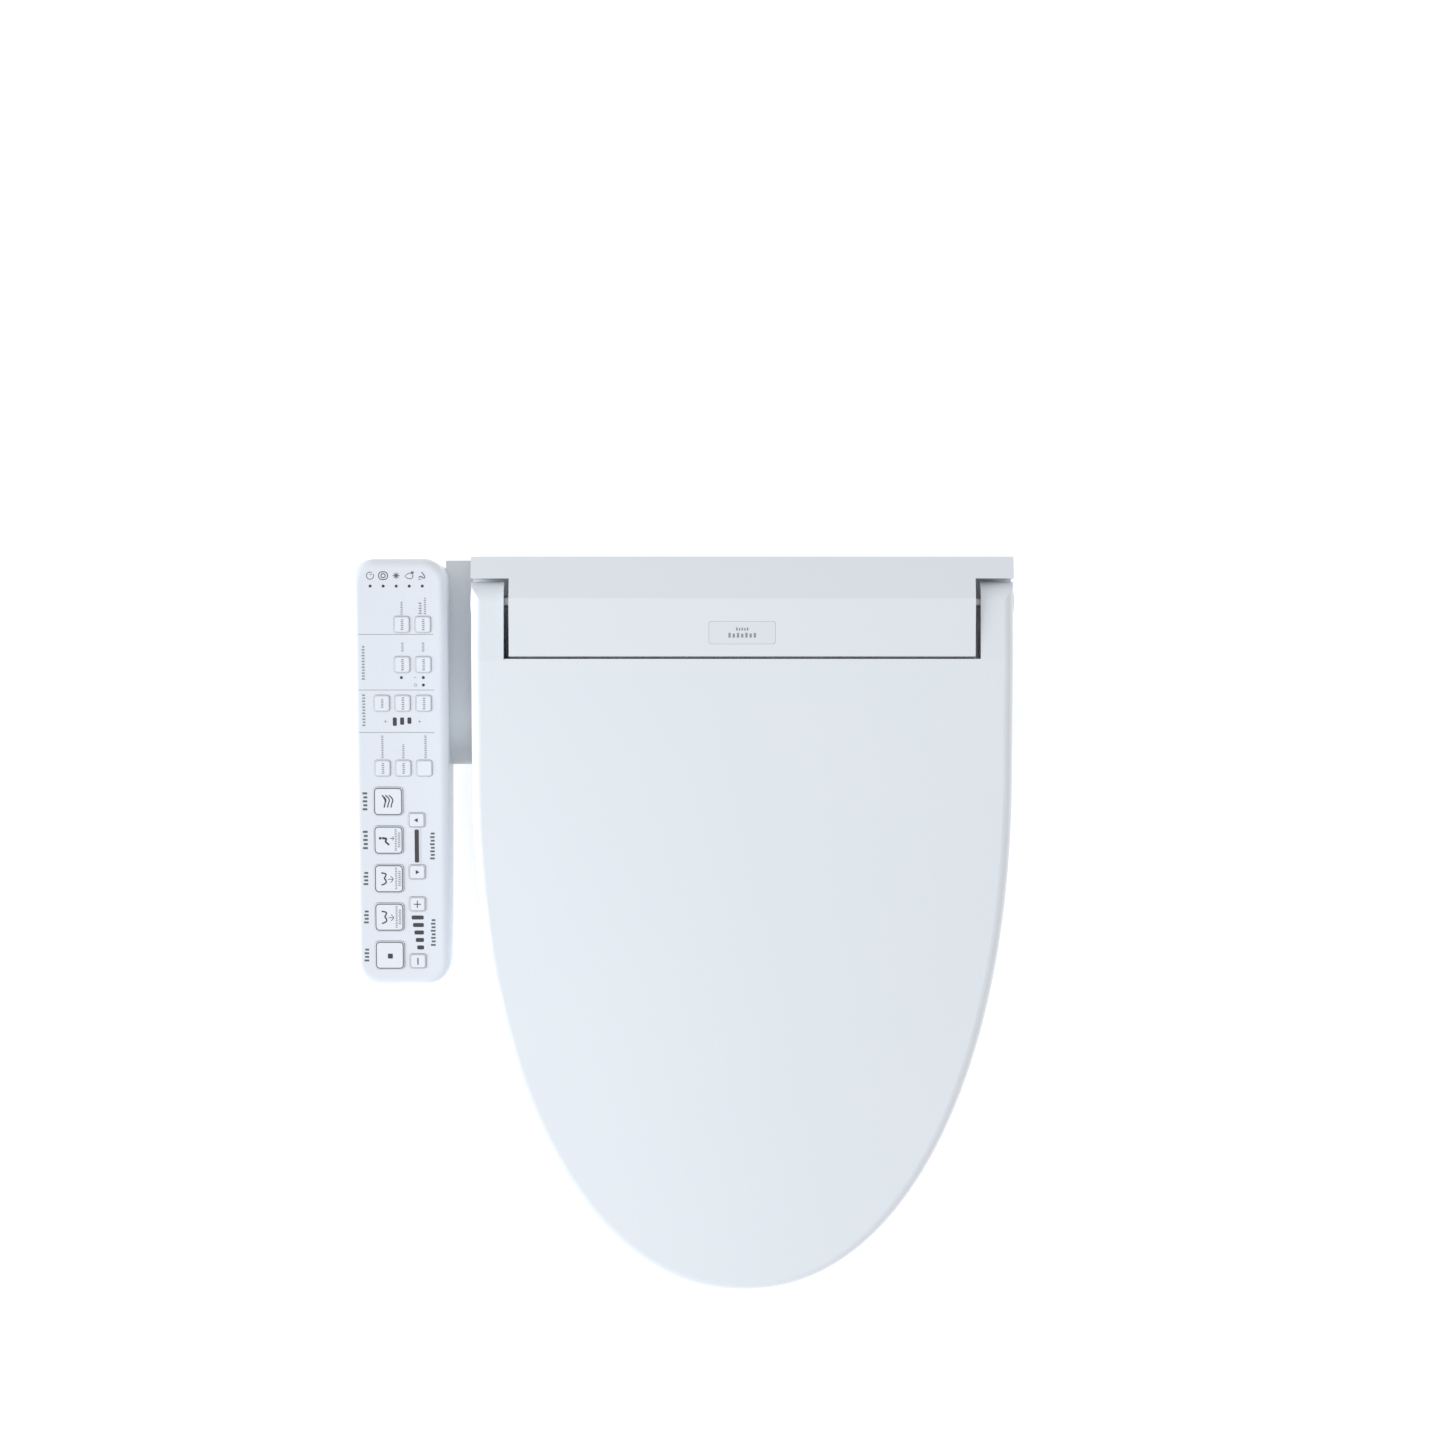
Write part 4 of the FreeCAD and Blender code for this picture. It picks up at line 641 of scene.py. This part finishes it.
SIGN_LINES = {
    Symbol.WAVES: (
        *(Line(((x - 1.9, 4.6), (x - 0.2, 3.3), (x + 1.3, 0.9), (x + 0.1, -1.4), (x - 0.4, -4.4)), 1.25, True)
          for x in (-2.5, 0.0, 2.5)),
        Line(((-4.2, 4.4), (-2.4, 1.8), (-1.9, -1.0), (-2.7, -4.2)), 1.0, True),
    ),
    Symbol.SEATED: (
        Line(((-4.6, 1.5), (-2.6, 1.3), (-1.2, 0.9)), 2.3),
        Line(((-1.6, 1.0), (-2.2, -1.2), (0.4, -3.4)), 2.1),
        Line(((1.0, 1.3), (3.9, 1.3)), 0.7),
        Line(((2.7, 2.8), (3.9, 1.3), (2.7, -0.2)), 0.6),
    ),
    Symbol.FOUNTAIN: (
        Line(((-5.6, 4.3), (-3.0, 4.1), (-1.6, 2.9), (-3.4, 0.3)), 1.5, True),
        Line(((-3.4, 0.3), (-1.5, -1.8), (-2.8, -4.0), (-5.4, -4.6)), 1.5, True),
        Line(((-0.6, -0.4), (3.3, -0.4)), 0.7),
        Line(((1.2, 1.9), (3.0, 0.5), (3.0, -1.3), (1.2, -2.7)), 0.7, True),
    ),
    Symbol.PLUS: (Line(((-2.6, 0.0), (2.6, 0.0))), Line(((0.0, -2.6), (0.0, 2.6)))),
    Symbol.MINUS: (Line(((0.0, -2.5), (0.0, 2.5)), 1.3),),
}
SWITCH = (Line(tuple(arc((0.0, 0.0), 2.6, 60, 390, 16))), Line(((-0.3, 0.9), (1.2, 0.9))))
RINGS = tuple(Line(tuple(rounded_loop(*size)), 1.3, closed=True)
              for size in ((6.4, 5.6, 2.4), (3.0, 2.8, 1.2)))
STAR = tuple(Line(tuple(arc((0.0, 0.0), reach, turn + 180, turn, 1)), 1.2)
             for turn, reach in ((0, 2.5), (45, 2.3), (90, 2.3), (135, 2.3)))
DROP = (Line(((-3.2, -0.4), (-0.6, 1.7), *arc((0.7, -0.2), 2.1, 80, -90, 8), (-1.2, -1.9)), closed=True),)
LEAF = (Line(((-2.6, -1.2), (-0.8, -0.1), (0.9, -2.2), (2.5, -0.8), (-0.4, 2.6)), 1.4, True),
        Line(((-2.8, -2.6), (-0.6, -2.4))))


@dataclass(frozen=True)
class Caption:
    """Strokes over a small key, in place of a word: their place from its centre, and their size."""

    node: str
    shift: float
    start: float
    end: float
    height: float
    letters: int


CAPTIONS = (
    Caption("key_power", 0.0, 6.7, 16.8, 1.6, 8), Caption("key_child_lock", -1.9, 7.2, 16.3, 2.2, 5),
    Caption("key_child_lock", 1.6, 7.2, 19.7, 1.5, 8), Caption("key_saving", 0.3, 9.3, 16.2, 1.6, 5),
    Caption("key_night_light", 0.0, 9.3, 16.2, 1.9, 5), Caption("key_pulse", 0.2, 7.1, 17.8, 1.6, 8),
    Caption("key_nozzle_clean", 0.0, 7.1, 24.2, 1.6, 13), Caption("key_oscillate", 1.0, 7.1, 24.2, 1.7, 13),
)


@dataclass
class SlopedFace:
    """A sloped plane that runs level from left to right: across it, along it and out of it."""

    press_axis: Sequence[float]

    def __post_init__(self) -> None:
        """Work out the plane's directions from the way that it is pressed."""
        self.out = -Vector(self.press_axis).normalized()
        self.across = Vector((1, 0, 0))
        self.along = self.out.cross(self.across)

    def reach(self, node: str, direction: Vector) -> tuple[float, float]:
        """Lowest and highest place of a node along a direction, in metres."""
        spots = [v.co.dot(direction) for v in frame["nodes"][node].data.vertices]
        return min(spots), max(spots)

    def centre(self, node: str) -> Vector:
        """Find the middle of a node's top.

        Args:
            node: The node's name.

        Returns:
            The point on the node's highest plane.
        """
        across = sum(self.reach(node, self.across)) / 2
        along = sum(self.reach(node, self.along)) / 2
        top = self.reach(node, self.out)[1]
        return self.across * across + self.along * along + self.out * top

    def matrix(self, origin: Vector) -> Matrix:
        """From millimetres on the plane to the frame's metres."""
        turn = Matrix((self.across, self.along, self.out)).transposed().to_4x4()
        return Matrix.Translation(origin) @ turn @ Matrix.Scale(MM, 4)


@dataclass
class ControlArm:
    """The side control arm: key outlines and signs, rows of strokes, dividers and status symbols."""

    paints: Paints
    relief: float = 0.14
    sign_line: float = 0.7
    fine_line: float = 0.42
    word_height: float = 3.4
    word_gap: float = 16.9
    scale_gap: float = 11.3
    scale_word: float = 21.0
    heading_inset: float = 8.5
    heading_height: float = 2.2
    level_marks_at: Point = (24.2, 49.0)
    lamp_marks_inset: float = 45.4
    divider_span: Point = (5.0, 9.8)
    # size of the strip of painted shade that stands for a groove
    painted_groove_shade_size: Point = (1.7, 26.0)
    status_line: float = 0.567
    status_inset: float = 14.3
    status_rise: float = 35.4
    status_pitch: float = 9.4

    def __post_init__(self) -> None:
        """Find the face's plane and its two edges."""
        press = next(j for j in frame["joints"] if j["name"] == "stop_press")
        self.face = SlopedFace(press["axis"])
        self.left, self.right = (v / MM for v in self.face.reach("arm_cover", self.face.across))

    def label(self, mould: Mould, centre: Point, length: float, height: float, letters: int,
              upright: bool = True) -> None:
        """Add a run of short strokes that stands for a word.

        Args:
            mould: Where to add it.
            centre: The run's middle.
            length: How long the run is.
            height: How tall its strokes are.
            letters: How many strokes.
            upright: Whether it is read along the arm, and not across it.
        """
        pitch = length / letters
        for i in range(letters):
            share = (0.0, 0.16, 0.04, 0.2)[i % 4]
            run = (i - (letters - 1) / 2) * pitch
            tall = height * (1 - share)
            shift = height * share / 2
            if upright:
                mould.bar((centre[0] + shift, centre[1] + run), (tall, pitch * 0.52), self.relief)
            else:
                mould.bar((centre[0] + run, centre[1] - shift), (pitch * 0.52, tall), self.relief)

    @staticmethod
    def lines(mould: Mould, lines: Sequence[Line], centre: Point, width: float) -> None:
        """Add the lines of a sign.

        Args:
            mould: Where to add them.
            lines: The sign's lines.
            centre: Where the sign's own origin goes.
            width: The sign's own line width.
        """
        for line in lines:
            points = [(centre[0] + x, centre[1] + y) for x, y in line.points]
            mould.stroke(points, width * line.weight, line.closed, line.smooth)

    def draw(self, mould: Mould, sign: KeySign) -> None:
        """Add one key's sign, centred on the key.

        Args:
            mould: Where to add it.
            sign: The key and its symbol.
        """
        self.lines(mould, SIGN_LINES.get(sign.symbol, ()), (0.0, 0.0), self.sign_line)
        if sign.symbol is Symbol.SEATED:
            mould.disc((-6.0, 1.4), 1.05, self.relief)
        elif sign.symbol is Symbol.STOP:
            mould.bar((0.4, -0.6), (3.6, 3.6), self.relief, 0.5)
        elif sign.symbol in (Symbol.UP, Symbol.DOWN):
            mould.disc((0, 0), 1.9, self.relief, 3, 90 if sign.symbol is Symbol.UP else -90)
        elif sign.symbol is Symbol.TICKS:
            self.label(mould, (0.3, 0), sign.print_length, 1.9, 6)

    def small_print(self, place: Matrix, node: str) -> None:
        """Make two columns of fine strokes beside a big key's sign.

        Args:
            place: The key's own plane.
            node: The key that they ride on.
        """
        rows = Mould()
        self.label(rows, (5.2, 0.2), 16.4, 1.5, 13)
        self.label(rows, (7.6, 0.2), 11.4, 1.9, 8)
        self.own(rows.finish(f"fine_{node}", place), node, Tone.MID)

    def print_keys(self) -> None:
        """Make each key's outline and sign, riding on the key; the small keys' outlines are painted shade along
        their raised edges.
        """
        for sign in KEY_SIGNS:
            style = sign.style
            place = self.face.matrix(self.face.centre(sign.node))
            inner = 2 * style.inset + style.line
            rim = Mould()
            rim.stroke(rounded_loop(style.width - inner, style.depth - inner, style.radius - inner / 4),
                       style.line, closed=True)
            self.own(rim.finish(f"outline_{sign.node}", place), sign.node, style.outline)
            if sign.symbol is not Symbol.NONE:
                drawing = Mould()
                self.draw(drawing, sign)
                self.own(drawing.finish(f"sign_{sign.node}", place), sign.node, style.ink)
            if sign.symbol in (Symbol.SEATED, Symbol.FOUNTAIN):
                self.small_print(place, sign.node)

    def own(self, piece: bpy.types.Object, body: str, tone: Tone) -> None:
        """Dress a print and let it ride on a body.

        Args:
            piece: The print.
            body: The body that it moves with.
            tone: Its ink.
        """
        self.paints.dress(piece, f"ink_{tone.name.lower()}", tone.value)
        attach(piece, body)
        LOG.info("made %s on %s", piece.name, body)

    def spot(self, node: str) -> Point:
        """A key's centre on the plane, in millimetres."""
        centre = self.face.centre(node)
        return centre.dot(self.face.across) / MM, centre.dot(self.face.along) / MM

    def print_face(self) -> None:
        """Make the strokes, dividers, status symbols and the strip of painted groove shade on the arm's face,
        riding on the housing.
        """
        top = self.face.reach("arm_cover", self.face.out)[1]
        place = self.face.matrix(self.face.out * top)
        for name, tone, fill in (("labels_arm", Tone.GREY, self.words),
                                 ("headings_arm", Tone.MID, self.headings),
                                 ("dividers_arm", Tone.MID, self.dividers),
                                 ("status_arm", Tone.GREY, self.status),
                                 # painted shade: a pale grey ink strip where a groove's shade would fall
                                 ("painted_groove_shade_arm", Tone.PALE, self.painted_groove_shade)):
            mould = Mould()
            fill(mould)
            self.own(mould.finish(name, place), "housing", tone)

    def words(self, mould: Mould) -> None:
        """Add the large rows of strokes beside the wash keys and the two level scales.

        Args:
            mould: Where to add them.
        """
        for node, letters, length in (("key_dryer", 5, 14.6), ("key_front_wash", 5, 15.0),
                                      ("key_soft_wash", 4, 11.0), ("key_rear_wash", 4, 10.8),
                                      ("key_stop", 4, 10.8)):
            x, y = self.spot(node)
            self.label(mould, (x - self.word_gap, y), length, self.word_height, letters)
        for first, last in (("key_position_up", "key_position_down"),
                            ("key_pressure_plus", "key_pressure_minus")):
            (x, high), (_, low) = self.spot(first), self.spot(last)
            self.label(mould, (x + self.scale_gap, (high + low) / 2), self.scale_word, self.word_height, 8)

    def headings(self, mould: Mould) -> None:
        """Add the section headings, the captions of the small keys and the marks by their lamps.

        Args:
            mould: Where to add them.
        """
        for node, rise, length, letters in (("key_saving", 1.2, 25.6, 12),
                                            ("key_water_heat", -5.1, 24.2, 11)):
            centre = (self.left + self.heading_inset, self.spot(node)[1] + rise)
            self.label(mould, centre, length, self.heading_height, letters)
        for caption in CAPTIONS:
            x, y = self.spot(caption.node)
            centre = (x + caption.shift, y + (caption.start + caption.end) / 2)
            self.label(mould, centre, caption.end - caption.start, caption.height, caption.letters)
        levels = self.spot("key_seat_heat")[1] - 13.3
        for inset in self.level_marks_at:
            x = self.left + inset
            mould.stroke([(x - 1.1, levels), (x + 1.1, levels)], self.fine_line)
            mould.stroke([(x, levels - 1.1), (x, levels + 1.1)], self.fine_line)
        x, lamps = self.left + self.lamp_marks_inset, self.spot("key_night_light")[1]
        mould.stroke([(x, lamps - 9.0), (x + 1.4, lamps - 9.4), (x, lamps - 9.8)], self.fine_line)
        mould.stroke(arc((x + 1.0, lamps - 14.9), 1.0, 0, 360, 10)[:-1], self.fine_line, closed=True)

    def dividers(self, mould: Mould) -> None:
        """Add the three lines between the groups of small keys.

        Args:
            mould: Where to add them.
        """
        start, stop = self.divider_span
        power, heat = self.spot("key_power")[1], self.spot("key_water_heat")[1]
        for y in (power - 7.2, heat + 9.7, heat - 21.3):
            mould.stroke([(self.left + start, y), (self.right - stop, y)], self.fine_line)

    def painted_groove_shade(self, mould: Mould) -> None:
        """Add the pale grey strip beside the position scale's lamp: painted shade of a groove, drawn as ink on the
        flat face.

        Args:
            mould: Where to add it.
        """
        (x, high), (_, low) = self.spot("key_position_up"), self.spot("key_position_down")
        mould.bar((x + 2.5, (high + low) / 2), self.painted_groove_shade_size, self.relief)

    def status(self, mould: Mould) -> None:
        """Add the row of five symbols over the status lamps: switch, rings, star, drop and leaf.

        Args:
            mould: Where to add them.
        """
        y = self.spot("key_power")[1] + self.status_rise
        spots = [(self.left + self.status_inset + self.status_pitch * i, y) for i in range(5)]
        for spot, lines in zip(spots, (SWITCH, RINGS, STAR, DROP, LEAF)):
            self.lines(mould, lines, spot, self.status_line)
        mould.disc(spots[2], 1.2, self.relief, 12)
        mould.bar((spots[3][0] + 2.3, y + 2.3), (2.0, 1.5), self.relief, 0.3)


# ---- lid, seat and housing ----------------------------------------------------------------------


@dataclass
class Fittings:
    """Small fittings of the lid, seat and housing."""

    paints: Paints
    cap_radius: float = 8.5
    cap_rise: float = 0.9
    cap_steps: tuple[Point, ...] = ((1.6, 0.0), (0.5, -0.35), (0.6, 0.0), (0.5, 0.35))
    thread_pitch: float = 1.8
    thread_depth: float = 0.9
    thread_length: float = 13.0
    thread_start: float = 2.2
    thread_sunk: float = 0.3
    button_ribs_at: tuple[Point, ...] = ((-2.6, 6.0), (0.0, 8.0), (2.6, 6.0))
    filter_rib: Point = (3.6, 1.3)
    filter_rib_pitch: float = 3.2
    rib_rounding: float = 0.3
    badge_rows: tuple[tuple[float, float, float, int], ...] = ((2.6, 9.5, 2.2, 5), (-1.8, 21.0, 3.4, 7))

    def keep(self, piece: bpy.types.Object, slot: str, body: str) -> None:
        """Dress a fitting in its slot's finish and let it ride on a body.

        Args:
            piece: The fitting.
            slot: Its material slot.
            body: The body that it moves with.
        """
        self.paints.dress(piece, slot, FINISHES[slot])
        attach(piece, body)
        LOG.info("made %s on %s", piece.name, body)

    def hinge_caps(self) -> None:
        """Make a round cover over each end of the hinge, on the lid's cheeks."""
        hinge = Vector(next(j for j in frame["joints"] if j["name"] == "lid_hinge")["pos_m"])
        low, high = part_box("lid")
        for side, x in (("left", low.x), ("right", high.x)):
            cap = Mould()
            bmesh.ops.create_cone(cap.bm, cap_ends=True, segments=48, radius1=self.cap_radius,
                                  radius2=self.cap_radius - 0.4, depth=self.cap_rise)
            face = max(cap.bm.faces, key=lambda f: f.calc_center_median().z)
            for thickness, depth in self.cap_steps:
                bmesh.ops.inset_region(cap.bm, faces=[face], thickness=thickness, depth=depth)
            turn = Matrix.Rotation(math.radians(90 if side == "right" else -90), 4, "Y")
            place = Matrix.Translation((x, hinge.y, hinge.z)) @ turn @ Matrix.Scale(MM, 4)
            self.keep(cap.finish(f"hinge_cap_{side}", place), "lid_white", "lid")

    def inlet_thread(self) -> None:
        """Make the rings of thread round the water inlet's spigot."""
        low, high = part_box("water_inlet")
        middle = (low + high) / 2
        root = (high.x - low.x) / 2 / MM - self.thread_sunk
        half = self.thread_pitch * 0.42
        thread = Mould()
        for i in range(int(self.thread_length / self.thread_pitch)):
            z = i * self.thread_pitch
            section = [(root, z - half), (root + self.thread_depth, z), (root, z + half)]
            spots = [thread.bm.verts.new((r, 0, h)) for r, h in section]
            edges = [thread.bm.edges.new(pair) for pair in zip(spots, spots[1:] + spots[:1])]
            bmesh.ops.spin(thread.bm, geom=spots + edges, cent=(0, 0, 0), axis=(0, 0, 1),
                           angle=math.radians(360), steps=48, use_merge=True)
        start = low.z + self.thread_start * MM
        place = Matrix.Translation((middle.x, middle.y, start)) @ Matrix.Scale(MM, 4)
        self.keep(thread.finish("inlet_thread", place), "inlet_plastic", "housing")

    def button_ribs(self) -> None:
        """Make three raised ribs on the release button's cap."""
        low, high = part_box("release_button")
        middle = (low + high) / 2
        ribs = Mould()
        for shift, length in self.button_ribs_at:
            ribs.bar((shift, 0), (1.0, length), 0.8, self.rib_rounding)
        turn = Matrix.Rotation(math.radians(90), 4, "Y")
        place = Matrix.Translation((high.x, middle.y, middle.z)) @ turn @ Matrix.Scale(MM, 4)
        self.keep(ribs.finish("release_button_ribs", place), "button_grey", "release_button")

    def filter_ribs(self) -> None:
        """Make the row of ribs on the front of the filter cartridge."""
        low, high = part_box("filter_cartridge")
        depth = (high.y - low.y) / MM
        tall = (high.z - low.z) / MM
        ribs = Mould()
        for i in range(int((depth - 8) / self.filter_rib_pitch)):
            spot = (tall / 2 - 4.2, 5 - depth / 2 + self.filter_rib_pitch * i)
            ribs.bar(spot, self.filter_rib, 0.7, self.rib_rounding)
        middle = (low + high) / 2
        turn = Matrix.Rotation(math.radians(-90), 4, "Y") @ Matrix.Rotation(math.radians(180), 4, "X")
        place = Matrix.Translation((high.x, middle.y, middle.z)) @ turn @ Matrix.Scale(MM, 4)
        self.keep(ribs.finish("filter_ribs", place), "case_white", "filter")

    def badge_marks(self, arm: ControlArm) -> None:
        """Make two rows of plain strokes on the nameplate, where a name would be.

        Args:
            arm: The control arm, whose strokes and inks are used.
        """
        mesh = frame["nodes"]["nameplate"].data
        low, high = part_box("nameplate")
        middle = (low + high) / 2
        normal = max((p for p in mesh.polygons if p.normal.z > 0.5), key=lambda p: p.area).normal
        plate = SlopedFace(-normal)
        top = plate.reach("nameplate", normal)[1]
        spot = plate.across * middle.x + plate.along * middle.dot(plate.along) + normal * top
        rows = Mould()
        for y, length, height, letters in self.badge_rows:
            arm.label(rows, (0.0, y), length, height, letters, upright=False)
        arm.own(rows.finish("badge_strokes", plate.matrix(spot)), "housing", Tone.MID)


# ---- studio -------------------------------------------------------------------------------------


@dataclass(frozen=True)
class Softbox:
    """A square area light."""

    name: str
    place: tuple[float, float, float]
    size: float
    power: float
    colour: Colour

    def hang(self, target: Sequence[float]) -> None:
        """Add it to the scene.

        Args:
            target: The point that it faces.
        """
        data = bpy.data.lights.new(self.name, "AREA")
        data.size = self.size
        data.energy = self.power
        data.color = self.colour
        lamp = bpy.data.objects.new(self.name, data)
        lamp.location = self.place
        lamp.rotation_euler = (Vector(target) - Vector(self.place)).to_track_quat("-Z", "Y").to_euler()
        bpy.context.scene.collection.objects.link(lamp)


@dataclass
class Studio:
    """Pale floor, soft light from the left and a camera straight above."""

    camera_place: tuple[float, float, float] = (-0.014, -0.0613, 3.0)
    lens: float = 100.25
    floor_half: float = 6.0
    floor_gap: float = 0.001
    floor_glow: float = 0.4
    softboxes: tuple[Softbox, ...] = (
        Softbox("key_light", (-2.9, -0.8, 1.6), 2.0, 78.0, (0.88, 0.95, 1.0)),
        Softbox("fill_light", (1.2, -2.6, 2.6), 2.6, 5.0, (1.0, 1.0, 1.0)),
    )
    target: tuple[float, float, float] = (0.0, -0.15, 0.05)
    room_colour: Colour = (0.96, 0.975, 1.0)
    room_strength: float = 0.71

    def floor(self) -> None:
        """Make the floor, just under the seat."""
        bm = bmesh.new()
        bmesh.ops.create_grid(bm, x_segments=1, y_segments=1, size=self.floor_half)
        mesh = bpy.data.meshes.new("floor")
        bm.to_mesh(mesh)
        bm.free()
        piece = bpy.data.objects.new("floor", mesh)
        piece.location.z = CAD_BOX[0][2] - self.floor_gap
        bpy.context.scene.collection.objects.link(piece)
        shader = Shader("floor_white")
        cloud = shader.noise(shader.place(), 1.2, 2.0)
        base = shader.mix(cloud, (0.93, 0.93, 0.93), (0.95, 0.95, 0.95))
        mesh.materials.append(shader.surface(Base_Color=base, Roughness=0.85, Emission_Color=(1, 1, 1),
                                             Emission_Strength=self.floor_glow))

    def lights(self) -> None:
        """Light the scene: a key from the left, a fill from the front and a bright room."""
        for softbox in self.softboxes:
            softbox.hang(self.target)
        world = bpy.data.worlds.new("room")
        world.use_nodes = True
        background = world.node_tree.nodes["Background"]
        background.inputs["Color"].default_value = (*self.room_colour, 1.0)
        background.inputs["Strength"].default_value = self.room_strength
        bpy.context.scene.world = world
        bpy.context.scene.view_settings.view_transform = "Standard"

    def camera(self) -> None:
        """Hang the camera straight above, with the rear of the seat at the top of the view."""
        data = bpy.data.cameras.new("camera")
        data.lens = self.lens
        data.sensor_width = 36.0
        data.clip_end = 50.0
        eye = bpy.data.objects.new("camera", data)
        eye.location = self.camera_place
        eye.rotation_euler = Euler((0, 0, 0))
        bpy.context.scene.collection.objects.link(eye)
        bpy.context.scene.camera = eye


# ---- the whole ----------------------------------------------------------------------------------


def dress_frame(paints: Paints) -> None:
    """Give every carried-over node the finish of its slot.

    Args:
        paints: The materials made so far.
    """
    slots = {s["node"]: s["material_slot"] for s in frame["record"]["subparts"]}
    for name, piece in frame["nodes"].items():
        paints.dress(piece, slots[name], FINISHES[slots[name]])


def main() -> None:
    """Build the looks in order and report each piece."""
    logging.basicConfig(level=logging.INFO, format="%(name)s: %(message)s")
    paints = Paints()
    studio = Studio()
    studio.camera()
    studio.floor()
    studio.lights()
    dress_frame(paints)
    arm = ControlArm(paints)
    arm.print_keys()
    arm.print_face()
    fittings = Fittings(paints)
    fittings.hinge_caps()
    fittings.inlet_thread()
    fittings.button_ribs()
    fittings.filter_ribs()
    fittings.badge_marks(arm)


if __name__ == "__main__":
    main()
